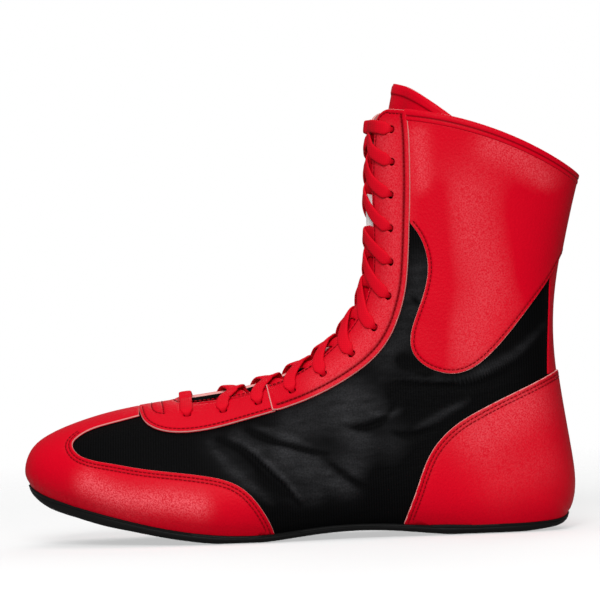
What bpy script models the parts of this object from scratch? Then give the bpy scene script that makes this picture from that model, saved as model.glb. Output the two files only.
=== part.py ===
"""High laced boxing shoe for the left foot.

A fabric upper with leather overlays stands on a thin rubber outsole, with a tongue under a
long laced throat. The tables are in millimetres and the scene is in metres. +Z is up, the
toe points to -X, and the outer side of the foot faces -Y. The origin lies on the floor
under the middle of the shoe's overall box.
"""

import math

import bmesh
import bpy
import numpy as np
from mathutils import Matrix, Vector

MM = 0.001

# Driving sizes, in millimetres.
LEATHER = 1.2
SEAT_GAP = 0.3
FABRIC_WALL = 1.6
SOLE_EDGE_ROUND = 1.6
SOLE_EDGE_TUCK = 1.4
INSOLE_THICK = 2.5
INSOLE_MARGIN = 0.9
TONGUE_THICK = 2.0
BINDING_WIDTH = 6.4
LACE_WIDTH = 6.5
LACE_THICK = 1.2
EYELETS_PER_SIDE = 13
EYELET_RADIUS = 2.0

# Levels are distances along the outward normal from the overlays' outer face.
OVERLAY_IN = -LEATHER
UPPER_OUT = OVERLAY_IN - SEAT_GAP
UPPER_IN = UPPER_OUT - FABRIC_WALL
TONGUE_UNDER_EYESTAY = UPPER_IN - 1.6
TONGUE_IN_THROAT = -1.6
EYESTAY_OUT = 0.3
STRIP_OUT = -0.2
BINDING_IN = OVERLAY_IN + 0.4
BINDING_LINING = UPPER_IN - 0.55
LABEL_IN = TONGUE_IN_THROAT + SEAT_GAP
LABEL_OUT = LABEL_IN + 0.3
LACE_ON_EYESTAY = EYESTAY_OUT + 3 * SEAT_GAP + LACE_THICK / 2
LACE_UNDER_CROSS = LABEL_OUT + 2.5 * SEAT_GAP + LACE_THICK / 2
LACE_OVER_CROSS = LACE_UNDER_CROSS + 0.8 * LACE_THICK
LACE_AT_FAR_EDGE = -2.2
STRAND_RISE = 0.64
STRAND_REACH = 0.72

# Moves the middle of the overall box onto the origin.
BOX_SHIFT_X = 0.2
BOX_SHIFT_Y = -0.6

# One row for each section of the last, from the toe tip to above the collar. A section lies
# between a point of the sole or back line (base) and a point of the top or front line (ridge).
# feather is the half width at the sole's edge, and below zero once the heel has closed.
# taper narrows the ridge end, fullness rounds both ends, and bow lifts the section's middle.
# throat is half the width of the laced opening, and eyelet the distance from its edge to the
# row of eyelets.
SECTION_COLUMNS = (
    "ridge_x", "ridge_z", "base_x", "base_z", "tread_z", "half_width", "feather",
    "centre_y", "taper", "fullness", "bow", "throat", "eyelet",
)
SECTIONS = (
    (-145.0, 31.0, -145.0, 31.0, 29.4, 0.0, 0.0, 7.0, 0.10, 0.00, 0.0, 7.0, 13.5),
    (-147.0, 39.5, -142.0, 28.6, 26.2, 13.5, 11.5, 7.0, 0.10, 0.00, 0.0, 7.0, 13.5),
    (-143.5, 49.5, -135.5, 25.2, 21.8, 23.0, 20.0, 6.6, 0.10, 0.00, 0.0, 7.0, 13.5),
    (-134.0, 57.2, -124.0, 21.4, 17.2, 31.5, 27.5, 6.0, 0.12, 0.00, 0.0, 7.0, 13.5),
    (-117.0, 63.9, -107.5, 16.6, 12.0, 39.5, 35.0, 5.0, 0.15, 0.00, 0.0, 7.0, 13.5),
    (-96.0, 69.2, -86.5, 11.0, 6.7, 44.6, 40.5, 3.5, 0.18, 0.00, 0.0, 7.0, 13.5),
    (-72.5, 72.6, -63.5, 6.2, 1.9, 47.2, 43.5, 2.0, 0.26, 0.00, 0.0, 7.0, 13.5),
    (-51.5, 75.1, -40.5, 3.6, -0.4, 47.6, 44.0, 0.5, 0.32, 0.00, 0.0, 8.5, 12.2),
    (-30.7, 78.8, -17.5, 3.8, 0.4, 45.2, 41.0, -1.0, 0.32, 0.00, 0.0, 9.5, 10.8),
    (-12.3, 84.5, 8.0, 6.2, 3.0, 41.6, 35.0, -1.5, 0.28, 0.03, 0.0, 10.5, 10.6),
    (2.4, 92.0, 38.5, 6.4, 3.3, 38.6, 30.5, -1.0, 0.20, 0.10, 0.0, 11.5, 10.8),
    (14.3, 101.4, 72.0, 4.2, 0.0, 36.5, 29.5, 0.0, 0.10, 0.20, 0.0, 12.5, 12.2),
    (23.4, 112.0, 103.0, 4.0, -0.5, 35.0, 28.0, 0.0, 0.04, 0.28, 0.0, 13.5, 13.2),
    (29.0, 121.8, 125.0, 5.0, 1.2, 34.5, 20.4, 0.0, 0.00, 0.30, 0.0, 14.2, 13.8),
    (32.0, 130.0, 135.0, 8.4, 4.6, 34.5, 0.0, 0.0, 0.00, 0.30, 0.0, 14.6, 14.4),
    (34.0, 138.2, 139.0, 21.6, 18.0, 34.0, -22.0, 0.0, 0.00, 0.30, 0.0, 14.8, 14.6),
    (34.8, 150.2, 137.4, 42.5, 40.0, 33.5, -40.0, 0.0, 0.00, 0.30, 0.0, 14.8, 14.6),
    (35.2, 163.2, 133.7, 68.7, 66.0, 33.0, -40.0, 0.0, 0.00, 0.30, 0.0, 14.8, 14.6),
    (35.2, 178.8, 131.3, 94.8, 92.0, 33.0, -40.0, 0.0, 0.00, 0.28, 1.0, 14.8, 14.6),
    (35.7, 194.4, 132.5, 120.7, 118.0, 33.5, -40.0, 0.0, 0.00, 0.25, 3.0, 14.8, 14.4),
    (36.7, 207.4, 137.3, 146.6, 144.0, 34.5, -40.0, 0.0, 0.00, 0.20, 5.0, 15.6, 12.2),
    (38.7, 220.3, 146.5, 182.2, 180.0, 36.0, -40.0, 0.0, 0.00, 0.15, 7.8, 23.0, 4.0),
    (42.3, 236.0, 152.0, 199.0, 197.0, 36.8, -40.0, 0.0, 0.00, 0.15, 8.0, 30.0, 4.0),
)
HEEL_CLOSED = 14.0
ROUND_HEEL_FROM = 11.0
THROAT_START = 6.1
COLLAR = 21.0

# Overlay edges in the side view, as (x, z) points of a smooth curve.
TOE_CAP_EDGE = (
    (-85.7, 66.7), (-100.6, 63.3), (-110.6, 60.6), (-117.6, 57.0), (-120.6, 53.4),
    (-119.2, 49.6), (-113.4, 45.8), (-101.3, 43.0), (-87.0, 40.2), (-69.2, 37.6),
    (-51.4, 35.0), (-40.0, 32.0), (-33.6, 28.6), (-27.2, 22.4), (-22.4, 15.2),
    (-19.2, 8.6), (-16.6, 0.0),
)
EYESTAY_EDGE = (
    (-86.0, 69.6), (-83.3, 64.1), (-78.2, 60.4), (-72.0, 58.4), (-63.9, 57.6),
    (-47.5, 59.2), (-34.3, 62.2), (-15.4, 66.9), (-1.4, 71.2), (11.9, 76.6),
    (25.2, 83.8), (35.3, 91.2), (42.1, 98.6), (47.0, 106.8), (50.4, 115.2),
    (53.3, 126.0), (55.0, 138.3), (56.5, 159.2), (57.5, 177.1), (57.9, 195.0),
    (57.7, 209.2), (56.9, 218.0),
)
PANEL_EDGE = (
    (57.0, 160.0), (60.5, 155.1), (63.5, 148.5), (65.2, 140.0), (64.6, 131.6),
    (61.6, 121.1), (57.6, 110.8), (55.3, 103.0), (55.3, 96.4), (57.8, 91.0),
    (63.3, 86.2), (69.8, 83.4), (76.9, 82.4), (83.5, 83.7), (90.1, 87.2),
    (96.9, 92.8), (105.0, 101.1), (118.6, 117.1), (127.5, 128.3), (133.2, 137.1),
    (139.0, 147.0),
)
COUNTER_EDGE = (
    (145.0, 88.4), (130.5, 81.6), (114.5, 74.6), (101.1, 68.8), (87.8, 62.5),
    (77.8, 56.8), (69.7, 50.1), (63.6, 42.4), (59.2, 33.4), (55.2, 22.6),
    (51.2, 12.6), (46.2, 0.0),
)
STRIP_EDGE = ((129.6, 131.4), (128.5, 110.0), (127.0, 90.0), (126.4, 80.4))
SEAM_TOP = (-19.5, 84.0)
EYESTAY_SEAM_POINT = 7

# Outline corners that lie clear of the shoe, and how far the cutters reach to each side.
AHEAD = -175.0
BEHIND = 175.0
BELOW = -20.0
ABOVE = 260.0
CUTTER_REACH = 80.0

# Rows of eyelets, the collar binding and the tongue's label. The binding's profile runs round
# its section as (distance below the collar's edge, level).
FIRST_EYELET = 6.5
LAST_EYELET = 20.4
EYELET_CROWDING = 0.06
BINDING_START = 0.286
BINDING_PROFILE = (
    (BINDING_WIDTH, BINDING_IN), (BINDING_WIDTH, 0.2), (0.2, 0.2), (-1.2, -0.5),
    (-1.2, UPPER_IN - 0.7), (0.2, UPPER_IN - 1.2), (5.0, UPPER_IN - 1.2),
    (5.0, BINDING_LINING), (-SEAT_GAP, BINDING_LINING), (-SEAT_GAP, BINDING_IN),
)
LABEL_ROWS = (0.66, 0.755)
LABEL_ACROSS = 0.16

# Resolution of the faceted solids.
FOOT_STATIONS = (0.0, 0.35, 0.7, 1.1, 1.6, 2.2, 3.0, 3.8, 4.6, 5.4)
WAIST_ROWS = 10
HEEL_STATIONS = (12.7, 13.3, 13.75, HEEL_CLOSED)
SHAFT_ROWS = 8
SIDE_COLUMNS = 9
RIDGE_COLUMNS = 2
OUTLINE_STEPS = 2

RED_LEATHER = ((0.72, 0.012, 0.022), 0.48)
BLACK_FABRIC = ((0.012, 0.012, 0.013), 0.85)
BLACK_RUBBER = ((0.010, 0.010, 0.010), 0.60)
RED_LACE = ((0.74, 0.008, 0.018), 0.80)
WHITE_LABEL = ((0.80, 0.80, 0.79), 0.70)
GREY_INSOLE = ((0.030, 0.030, 0.032), 0.90)


def clear_scene():
    for item in list(bpy.data.objects):
        bpy.data.objects.remove(item)


def spline_bends(knots, values):
    """Second derivatives at the knots of the natural cubic curve through a table."""
    count = len(knots)
    step = np.diff(knots)
    system = np.eye(count)
    right = np.zeros_like(values)
    for i in range(1, count - 1):
        system[i, i - 1] = step[i - 1]
        system[i, i] = 2 * (step[i - 1] + step[i])
        system[i, i + 1] = step[i]
        slope_after = (values[i + 1] - values[i]) / step[i]
        slope_before = (values[i] - values[i - 1]) / step[i - 1]
        right[i] = 6 * (slope_after - slope_before)
    return np.linalg.solve(system, right)


def spline_at(knots, values, bends, place):
    """The curve's columns at each place along the knots."""
    place = np.clip(place, knots[0], knots[-1])
    left = np.clip(np.searchsorted(knots, place, side="right") - 1, 0, len(knots) - 2)
    width = (knots[left + 1] - knots[left])[..., None]
    after = ((place - knots[left]) / width[..., 0])[..., None]
    before = 1 - after
    curve = before * values[left] + after * values[left + 1]
    bend = (before**3 - before) * bends[left] + (after**3 - after) * bends[left + 1]
    return curve + bend * width**2 / 6


TABLE = np.array(SECTIONS, float)
SPACING_COLUMNS = [SECTION_COLUMNS.index(name) for name in (
    "ridge_x", "ridge_z", "base_x", "base_z", "half_width", "feather")]
KNOTS = np.concatenate(
    [[0.0], np.cumsum(np.linalg.norm(np.diff(TABLE[:, SPACING_COLUMNS], axis=0), axis=1))])
BENDS = spline_bends(KNOTS, TABLE)
FEATHER = TABLE[:, [SECTION_COLUMNS.index("feather")]]
HEEL_SQUARES = FEATHER * np.abs(FEATHER)
HEEL_BENDS = spline_bends(KNOTS, HEEL_SQUARES)


def section_at(station):
    """Every column of the section table at a station, which counts rows from the toe."""
    station = np.asarray(station, float)
    place = np.interp(station, np.arange(len(KNOTS)), KNOTS)
    columns = spline_at(KNOTS, TABLE, BENDS, place)
    section = {name: columns[..., i] for i, name in enumerate(SECTION_COLUMNS)}
    section["tread_z"] = np.maximum(section["tread_z"], 0.0)
    square = spline_at(KNOTS, HEEL_SQUARES, HEEL_BENDS, place)[..., 0]
    round_end = np.sqrt(np.maximum(square, 0.0))
    section["feather"] = np.where(station < ROUND_HEEL_FROM, section["feather"], round_end)
    section["feather"] = np.where(station < HEEL_CLOSED, section["feather"], 0.0)
    return section


def breadth(section, angle):
    """Share of the half width at an angle round the section: 0 at the base, pi at the ridge."""
    cosine = np.cos(angle)
    return np.sin(angle) * (1 + section["taper"] * cosine + section["fullness"] * cosine**2)


def angle_where(section, reach, low, high):
    """The angle between low and high at which the section is reach wide to one side."""
    share = reach / np.maximum(section["half_width"], 1e-6)
    low = np.zeros_like(share) + low
    high = np.zeros_like(share) + high
    rising = breadth(section, high) > breadth(section, low)
    for _ in range(40):
        middle = (low + high) / 2
        go_up = (breadth(section, middle) < share) == rising
        low = np.where(go_up, middle, low)
        high = np.where(go_up, high, middle)
    return (low + high) / 2


def base_angle(section):
    return angle_where(section, section["feather"], 0.0, math.pi / 2)


def skin(station, around):
    """A point of the overlays' outer face. around is -1 at the outer side's base, 0 on the
    ridge and 1 at the inner side's base."""
    station, around = np.broadcast_arrays(np.asarray(station, float), np.asarray(around, float))
    section = section_at(station)
    start = base_angle(section)
    angle = math.pi - np.abs(around) * (math.pi - start)
    along = (np.cos(start) - np.cos(angle)) / (1 + np.cos(start))
    run_x = section["ridge_x"] - section["base_x"]
    run_z = section["ridge_z"] - section["base_z"]
    length = np.maximum(np.hypot(run_x, run_z), 1e-6)
    lift = section["bow"] * 4 * along * (1 - along)
    side = np.where(around < 0, -1.0, 1.0)
    x = section["base_x"] + run_x * along + lift * run_z / length
    z = section["base_z"] + run_z * along - lift * run_x / length
    y = section["centre_y"] + side * section["half_width"] * breadth(section, angle)
    return np.stack([x + BOX_SHIFT_X, y + BOX_SHIFT_Y, z], axis=-1)


def outward(station, around):
    """Unit normals of the skin. At the sole's edge they lie level, so that walls stand on it."""
    small = 1e-3
    station, around = np.broadcast_arrays(np.asarray(station, float), np.asarray(around, float))
    inside = np.maximum(station, 5 * small)
    along = skin(inside + small, around) - skin(inside - small, around)
    across = skin(inside, around + small) - skin(inside, around - small)
    normal = np.cross(along, across)
    section = section_at(inside)
    middle = np.stack([
        (section["ridge_x"] + section["base_x"]) / 2 + BOX_SHIFT_X,
        section["centre_y"] + BOX_SHIFT_Y,
        (section["ridge_z"] + section["base_z"]) / 2,
    ], axis=-1)
    facing = np.sum(normal * (skin(inside, around) - middle), axis=-1, keepdims=True)
    normal = np.where(facing < 0, -normal, normal)
    level = (np.abs(around) > 1 - small) & (station <= HEEL_CLOSED + small)
    normal[..., 2] = np.where(level, 0.0, normal[..., 2])
    normal = np.where(station[..., None] < small, np.array([-1.0, 0.0, 0.0]), normal)
    return normal / np.linalg.norm(normal, axis=-1, keepdims=True)


def surface(station, around, level):
    """A point at a distance (level) outside the overlays' outer face."""
    return skin(station, around) + outward(station, around) * np.asarray(level)[..., None]


def around_at_reach(station, reach):
    """How far round from the ridge the skin is reach away from the shoe's middle line."""
    section = section_at(station)
    start = base_angle(section)
    reach = np.minimum(reach, 0.55 * section["half_width"])
    angle = angle_where(section, reach, math.pi / 2, math.pi)
    return (math.pi - angle) / (math.pi - start)


def throat_around(station):
    return around_at_reach(station, section_at(station)["throat"])


def new_object(name, mesh_builder, finish):
    """An object made from a bmesh in millimetres, closed, facing out and shaded smooth."""
    bmesh.ops.remove_doubles(mesh_builder, verts=mesh_builder.verts, dist=1e-4)
    bmesh.ops.dissolve_degenerate(mesh_builder, edges=mesh_builder.edges, dist=1e-5)
    bmesh.ops.recalc_face_normals(mesh_builder, faces=mesh_builder.faces)
    bmesh.ops.scale(mesh_builder, vec=(MM, MM, MM), verts=mesh_builder.verts)
    mesh = bpy.data.meshes.new(name)
    mesh_builder.to_mesh(mesh)
    mesh_builder.free()
    mesh.shade_smooth()
    mesh.set_sharp_from_angle(angle=math.radians(40))
    item = bpy.data.objects.new(name, mesh)
    bpy.context.scene.collection.objects.link(item)
    if finish is not None:
        mesh.materials.append(finish)
    return item


def finish_of(name, colour_and_roughness):
    colour, roughness = colour_and_roughness
    material = bpy.data.materials.new(name)
    material.use_nodes = True
    shader = material.node_tree.nodes["Principled BSDF"]
    shader.inputs["Base Color"].default_value = (*colour, 1.0)
    shader.inputs["Roughness"].default_value = roughness
    shader.inputs["Metallic"].default_value = 0.0
    return material


def face_of(builder, corners):
    """A face through corners that may repeat, as at the toe tip."""
    kept = []
    for corner in corners:
        if corner not in kept:
            kept.append(corner)
    if len(kept) > 2:
        builder.faces.get(kept) or builder.faces.new(kept)


def grid_vertices(builder, points):
    """Vertices for a grid of points, with one vertex where points coincide."""
    known = {}
    rows = []
    for row in points:
        line = []
        for point in row:
            key = tuple(np.round(point, 3))
            if key not in known:
                known[key] = builder.verts.new(point)
            line.append(known[key])
        rows.append(line)
    return rows


def halves(places, points):
    """A cell's two triangles, split on its shorter diagonal, so that stacked sheets match."""
    a, b, c, d = (points[place] for place in places)
    first, second, third, fourth = places
    if np.linalg.norm(a - c) <= np.linalg.norm(b - d):
        return (first, second, third), (first, third, fourth)
    return (second, third, fourth), (second, fourth, first)


def thick_sheet(name, outer, inner, finish, keep=None):
    """A closed solid between two grids of points. keep says which cells have material."""
    builder = bmesh.new()
    front = grid_vertices(builder, outer)
    back = grid_vertices(builder, inner)
    uses = {}
    for i in range(len(outer) - 1):
        for j in range(len(outer[0]) - 1):
            if keep is not None and not keep[i][j]:
                continue
            places = ((i, j), (i + 1, j), (i + 1, j + 1), (i, j + 1))
            for triangle in halves(places, outer):
                face_of(builder, [front[a][b] for a, b in triangle])
                face_of(builder, [back[a][b] for a, b in reversed(triangle)])
            for start, end in zip(places, places[1:] + places[:1]):
                ends = (front[start[0]][start[1]], front[end[0]][end[1]])
                if ends[0] is not ends[1]:
                    uses.setdefault(frozenset(ends), []).append((start, end))
    for sharing in uses.values():
        if len(sharing) == 1:
            (a, b), (c, d) = sharing[0]
            face_of(builder, [front[a][b], front[c][d], back[c][d], back[a][b]])
    return new_object(name, builder, finish)


def sole_stations():
    to_heel = np.linspace(THROAT_START, 12.0, WAIST_ROWS)
    return np.concatenate([FOOT_STATIONS, to_heel, HEEL_STATIONS])


def shell_stations():
    """Stations of the shell's grid rows, with rows at the throat, the heel and the collar."""
    to_collar = np.linspace(HEEL_CLOSED + 0.5, COLLAR, SHAFT_ROWS)
    return np.concatenate([sole_stations(), to_collar])


def shell_arounds(stations):
    """Grid columns of each row, with lines along both edges of the throat."""
    edge = throat_around(stations)
    share = np.linspace(0, 1, SIDE_COLUMNS + 1)
    outer_side = -1 + (1 - edge)[:, None] * share
    ridge = edge[:, None] * np.linspace(-1, 1, RIDGE_COLUMNS + 1)[1:-1]
    return np.concatenate([outer_side, ridge, -outer_side[:, ::-1]], axis=1)


def throat_cells(stations):
    """Which grid cells lie in the open throat."""
    columns = 2 * SIDE_COLUMNS + RIDGE_COLUMNS
    ridge = (np.arange(columns) >= SIDE_COLUMNS) & (np.arange(columns) < SIDE_COLUMNS + RIDGE_COLUMNS)
    return (stations[:-1, None] > THROAT_START - 0.01) & ridge[None, :]


def shell_grid(first, last, level, stations=None):
    stations = shell_stations() if stations is None else stations
    chosen = stations[(stations >= first - 0.01) & (stations <= last + 0.01)]
    arounds = shell_arounds(chosen)
    return chosen, arounds, surface(chosen[:, None], arounds, level)


def make_upper(finish):
    stations, _, outer = shell_grid(0.0, COLLAR, UPPER_OUT)
    _, _, inner = shell_grid(0.0, COLLAR, UPPER_IN)
    return thick_sheet("upper", outer, inner, finish, ~throat_cells(stations))


def sole_loop(stations, side, tuck):
    """Plan points of the sole's outline, tucked in along the outline's own normal."""
    edge = skin(stations, side)
    return edge - outward(stations, side) * tuck


def make_outsole(finish):
    """The rubber outsole: flat under heel and ball, raised at the arch and the toe."""
    stations = sole_stations()
    section = section_at(stations)
    top_z = section["base_z"] - SEAT_GAP
    tread_z = section["tread_z"]
    round_z = np.minimum(tread_z + SOLE_EDGE_ROUND, top_z - 0.4)
    rings = ((top_z, 0.0), (round_z, SOLE_EDGE_TUCK / 4), (tread_z, SOLE_EDGE_TUCK * 2))
    shares = np.linspace(0, 1, 6)
    loops = []
    for height, tuck in rings:
        sides = []
        for side in (-1.0, 1.0):
            loop = sole_loop(stations, side, tuck)
            loop[:, 2] = height
            sides.append(loop)
        loops.append(sides)
    top = [loops[0][0] + (loops[0][1] - loops[0][0]) * share for share in shares]
    tread = [loops[2][1] + (loops[2][0] - loops[2][1]) * share for share in shares]
    ring = top + [loops[1][1]] + tread + [loops[1][0]]
    return closed_loft("outsole", np.stack(ring + ring[:1], axis=1), finish)


def closed_loft(name, grid, finish):
    """A solid whose rows are closed rings of points. An end row is filled unless its two
    sides meet there in a single line."""
    builder = bmesh.new()
    vertices = grid_vertices(builder, grid)
    for above, below in zip(vertices, vertices[1:]):
        for j in range(len(above) - 1):
            face_of(builder, [above[j], above[j + 1], below[j + 1], below[j]])
    for row in (vertices[0], vertices[-1]):
        if len(set(row)) == len(row) - 1:
            face_of(builder, row[:-1])
    return new_object(name, builder, finish)


def make_insole(finish):
    """The loose footbed, which lies on the outsole inside the upper."""
    stations = np.concatenate([[0.9, 1.4, 2.0, 3.0, 4.0, 5.0], np.linspace(6.0, 13.0, 10), [13.5, 13.8]])
    section = section_at(stations)
    tuck = -UPPER_IN + INSOLE_MARGIN
    sides = [sole_loop(stations, side, tuck) for side in (-1.0, 1.0)]
    shares = np.linspace(0, 1, 4)
    layers = []
    for height in (section["base_z"] + INSOLE_THICK, section["base_z"]):
        layer = [sides[0] + (sides[1] - sides[0]) * share for share in shares]
        for line in layer:
            line[:, 2] = height
        layers.append(layer)
    ring = layers[0] + layers[1][::-1]
    return closed_loft("insole", np.stack(ring + ring[:1], axis=1), finish)


def ramp(value, low, high):
    """Goes smoothly from 0 at low to 1 at high."""
    share = np.clip((value - low) / (high - low), 0, 1)
    return share * share * (3 - 2 * share)


# The tongue: where it starts, how high its middle and its sides reach, and how it lies.
TONGUE_START = 5.6
TONGUE_TOP = 21.75
TONGUE_SIDE_TOP = 21.0
TONGUE_AROUND_LOW = 0.30
TONGUE_AROUND_HIGH = 0.46
TONGUE_LEAN = 7.0
TONGUE_LEAN_FROM = 18.5
TONGUE_LEAN_TO = 21.0


def tongue_point(share_along, share_across, depth):
    """A point of the tongue: along from its root to its top, across from -1 to 1."""
    top = TONGUE_TOP - (TONGUE_TOP - TONGUE_SIDE_TOP) * share_across**2
    station = TONGUE_START + (top - TONGUE_START) * share_along
    spread = TONGUE_AROUND_LOW + (TONGUE_AROUND_HIGH - TONGUE_AROUND_LOW) * share_along
    around = spread * share_across
    throat = throat_around(station)
    crown = ramp(1 - np.abs(around) / throat, 0.1, 0.9) * ramp(station, TONGUE_START, 7.5)
    level = TONGUE_UNDER_EYESTAY + (TONGUE_IN_THROAT - TONGUE_UNDER_EYESTAY) * crown
    point = surface(station, around, level - depth)
    lean = TONGUE_LEAN * ramp(station, TONGUE_LEAN_FROM, TONGUE_LEAN_TO)
    point[..., 0] += lean * (1 - share_across**2) ** 2
    return point


def make_tongue(finish):
    along = np.linspace(0, 1, 19)[:, None]
    across = np.linspace(-1, 1, 11)[None, :]
    outer = tongue_point(along, across, np.zeros((1, 1)))
    inner = tongue_point(along, across, np.full((1, 1), TONGUE_THICK))
    return thick_sheet("tongue", outer, inner, finish)


def smooth_curve(points, steps):
    """Points along the smooth curve through the given ones, with this many steps to a span."""
    points = np.array(points, float)
    knots = np.concatenate([[0.0], np.cumsum(np.linalg.norm(np.diff(points, axis=0), axis=1))])
    places = np.interp(np.arange(0, len(points) - 1 + 1e-6, 1 / steps), np.arange(len(points)), knots)
    return spline_at(knots, points, spline_bends(knots, points), places)


def edge_curve(points, moved=(0.0, 0.0)):
    return [(x + moved[0], z + moved[1]) for x, z in smooth_curve(points, OUTLINE_STEPS)]


def side_prism(name, outline):
    """A cutter: an outline in the side view, carried right across the shoe."""
    builder = bmesh.new()
    near = [builder.verts.new((x + BOX_SHIFT_X, -CUTTER_REACH, z)) for x, z in outline]
    made = bmesh.ops.extrude_face_region(builder, geom=[builder.faces.new(near)])
    moved = [part for part in made["geom"] if isinstance(part, bmesh.types.BMVert)]
    bmesh.ops.translate(builder, vec=(0, 2 * CUTTER_REACH, 0), verts=moved)
    return as_cutter(new_object(name, builder, None))


def as_cutter(item):
    item.hide_render = True
    item.display_type = "WIRE"
    return item


def combine(item, other, operation):
    boolean = item.modifiers.new(operation.lower() + " " + other.name, "BOOLEAN")
    boolean.operation = operation
    boolean.object = other
    boolean.solver = "EXACT"
    return item


def slab(name, rows, reach, levels, finish, sides=(-1, 1)):
    """A sheet of leather on part of the skin, in the upper's own facets.

    rows are its first and last stations, reach its least and greatest distance round from
    the ridge, levels its inner and outer faces, and sides the sides of the foot it is on."""
    stations, arounds, outer = shell_grid(*rows, levels[1])
    _, _, inner = shell_grid(*rows, levels[0])
    middle = (arounds[:-1, :-1] + arounds[1:, 1:]) / 2
    keep = (np.abs(middle) >= reach[0]) & (np.abs(middle) <= reach[1]) & ~throat_cells(stations)
    keep &= np.isin(np.sign(np.round(middle, 6)), (0, *sides))
    return thick_sheet(name, outer, inner, finish, keep)


def outline_toe_cap():
    """Everything ahead of and above the toe cap's edge, up to the eyestay."""
    return edge_curve(TOE_CAP_EDGE) + [
        (TOE_CAP_EDGE[-1][0], BELOW), (AHEAD, BELOW), (AHEAD, ABOVE),
        (EYESTAY_EDGE[0][0] - SEAT_GAP, ABOVE), (EYESTAY_EDGE[0][0] - SEAT_GAP, TOE_CAP_EDGE[0][1])]


def outline_eyestay_front():
    edge = edge_curve(EYESTAY_EDGE[:EYESTAY_SEAM_POINT + 1])
    return [(EYESTAY_EDGE[0][0], ABOVE)] + edge + [SEAM_TOP, (SEAM_TOP[0] - 4, ABOVE)]


def outline_eyestay_shaft():
    edge = edge_curve(EYESTAY_EDGE[EYESTAY_SEAM_POINT:], (SEAT_GAP, 0.0))
    foot = [(SEAM_TOP[0] + SEAT_GAP - 4, ABOVE), (SEAM_TOP[0] + SEAT_GAP, SEAM_TOP[1])]
    return foot + edge + [(EYESTAY_EDGE[-1][0], ABOVE)]


def collar_line(drop):
    """The line a distance below the collar's edge, in the side view, carried on behind the shoe."""
    arounds = np.linspace(BINDING_START, 1.0, 12)
    line = collar_point(-arounds, drop, np.zeros_like(arounds))
    points = [(x - BOX_SHIFT_X, z) for x, _, z in line]
    return points + [(BEHIND, points[-1][1] - 4)]


def outline_ankle_panel():
    front = [(x + 2 * SEAT_GAP, z) for x, z in EYESTAY_EDGE if z > PANEL_EDGE[0][1]]
    top = collar_line(BINDING_WIDTH + 2 * SEAT_GAP)
    front = [point for point in front if point[1] < top[0][1]]
    return edge_curve(PANEL_EDGE) + [(BEHIND, PANEL_EDGE[-1][1] + 12)] + top[::-1] + front[::-1]


def outline_heel_counter():
    return edge_curve(COUNTER_EDGE) + [
        (COUNTER_EDGE[-1][0], BELOW), (BEHIND, BELOW), (BEHIND, COUNTER_EDGE[0][1] + 4)]


def outline_back_strip():
    lower = [(x, z + SEAT_GAP) for x, z in edge_curve(COUNTER_EDGE) if x > STRIP_EDGE[-1][0]]
    upper = [(x, z - SEAT_GAP) for x, z in edge_curve(PANEL_EDGE) if x > STRIP_EDGE[0][0]]
    corners = [(BEHIND, PANEL_EDGE[-1][1] + 12 - SEAT_GAP), (BEHIND, COUNTER_EDGE[0][1] + 4 + SEAT_GAP)]
    return edge_curve(STRIP_EDGE)[::-1] + upper + corners + lower


def make_overlays(finish):
    """The leather pieces on the upper. Each is cut from a slab by its outline from the side."""
    whole = (OVERLAY_IN, 0.0)
    raised = (OVERLAY_IN, EYESTAY_OUT)
    made = {
        "toe_cap": (slab("toe_cap", (0.0, 9.1), (0.0, 1.0), whole, finish), outline_toe_cap()),
        "eyestay_front": (
            slab("eyestay_front", (4.4, 9.6), (0.0, 0.62), raised, finish), outline_eyestay_front()),
        "ankle_panel": (slab("ankle_panel", (12.0, COLLAR), (0.12, 1.0), whole, finish), outline_ankle_panel()),
        "heel_counter": (slab("heel_counter", (9.0, 18.5), (0.35, 1.0), whole, finish), outline_heel_counter()),
        "back_strip": (
            slab("back_strip", (16.0, COLLAR), (0.7, 1.0), (OVERLAY_IN, STRIP_OUT), finish), outline_back_strip()),
    }
    for side, name in ((-1, "eyestay_lateral"), (1, "eyestay_medial")):
        sheet = slab(name, (8.0, COLLAR), (0.0, 0.7), raised, finish, (side,))
        made[name] = (sheet, outline_eyestay_shaft())
    for name, (sheet, outline) in made.items():
        combine(sheet, side_prism(name + "_outline", outline), "INTERSECT")
    return {name: sheet for name, (sheet, _) in made.items()}


def eyelet_around(station):
    """How far round from the ridge the row of eyelets lies, a set distance from the throat's edge."""
    edge = throat_around(station)
    small = 1e-3
    rate = np.linalg.norm(skin(station, edge + small) - skin(station, edge), axis=-1) / small
    return edge + section_at(station)["eyelet"] / rate


def eyelet_stations():
    """Stations of the eyelets along their row, a little closer together near the collar."""
    fine = np.linspace(FIRST_EYELET, LAST_EYELET, 400)
    steps = np.linalg.norm(np.diff(skin(fine, eyelet_around(fine)), axis=0), axis=1)
    length = np.concatenate([[0.0], np.cumsum(steps)])
    share = np.linspace(0, 1, EYELETS_PER_SIDE)
    share = share + EYELET_CROWDING * share * (1 - share)
    return np.interp(share * length[-1], length, fine)


def make_hole_cutter():
    """Short six-sided pegs through the upper at every eyelet."""
    builder = bmesh.new()
    stations = eyelet_stations()
    for side in (-1, 1):
        arounds = side * eyelet_around(stations)
        centres = surface(stations, arounds, (UPPER_IN + EYESTAY_OUT) / 2)
        for centre, axis in zip(centres, outward(stations, arounds)):
            turn = Vector((0, 0, 1)).rotation_difference(Vector(axis)).to_matrix().to_4x4()
            bmesh.ops.create_cone(
                builder, cap_ends=True, segments=6, radius1=EYELET_RADIUS, radius2=EYELET_RADIUS,
                depth=10.0, matrix=Matrix.Translation(centre) @ turn)
    return as_cutter(new_object("lace_holes", builder, None))


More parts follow.
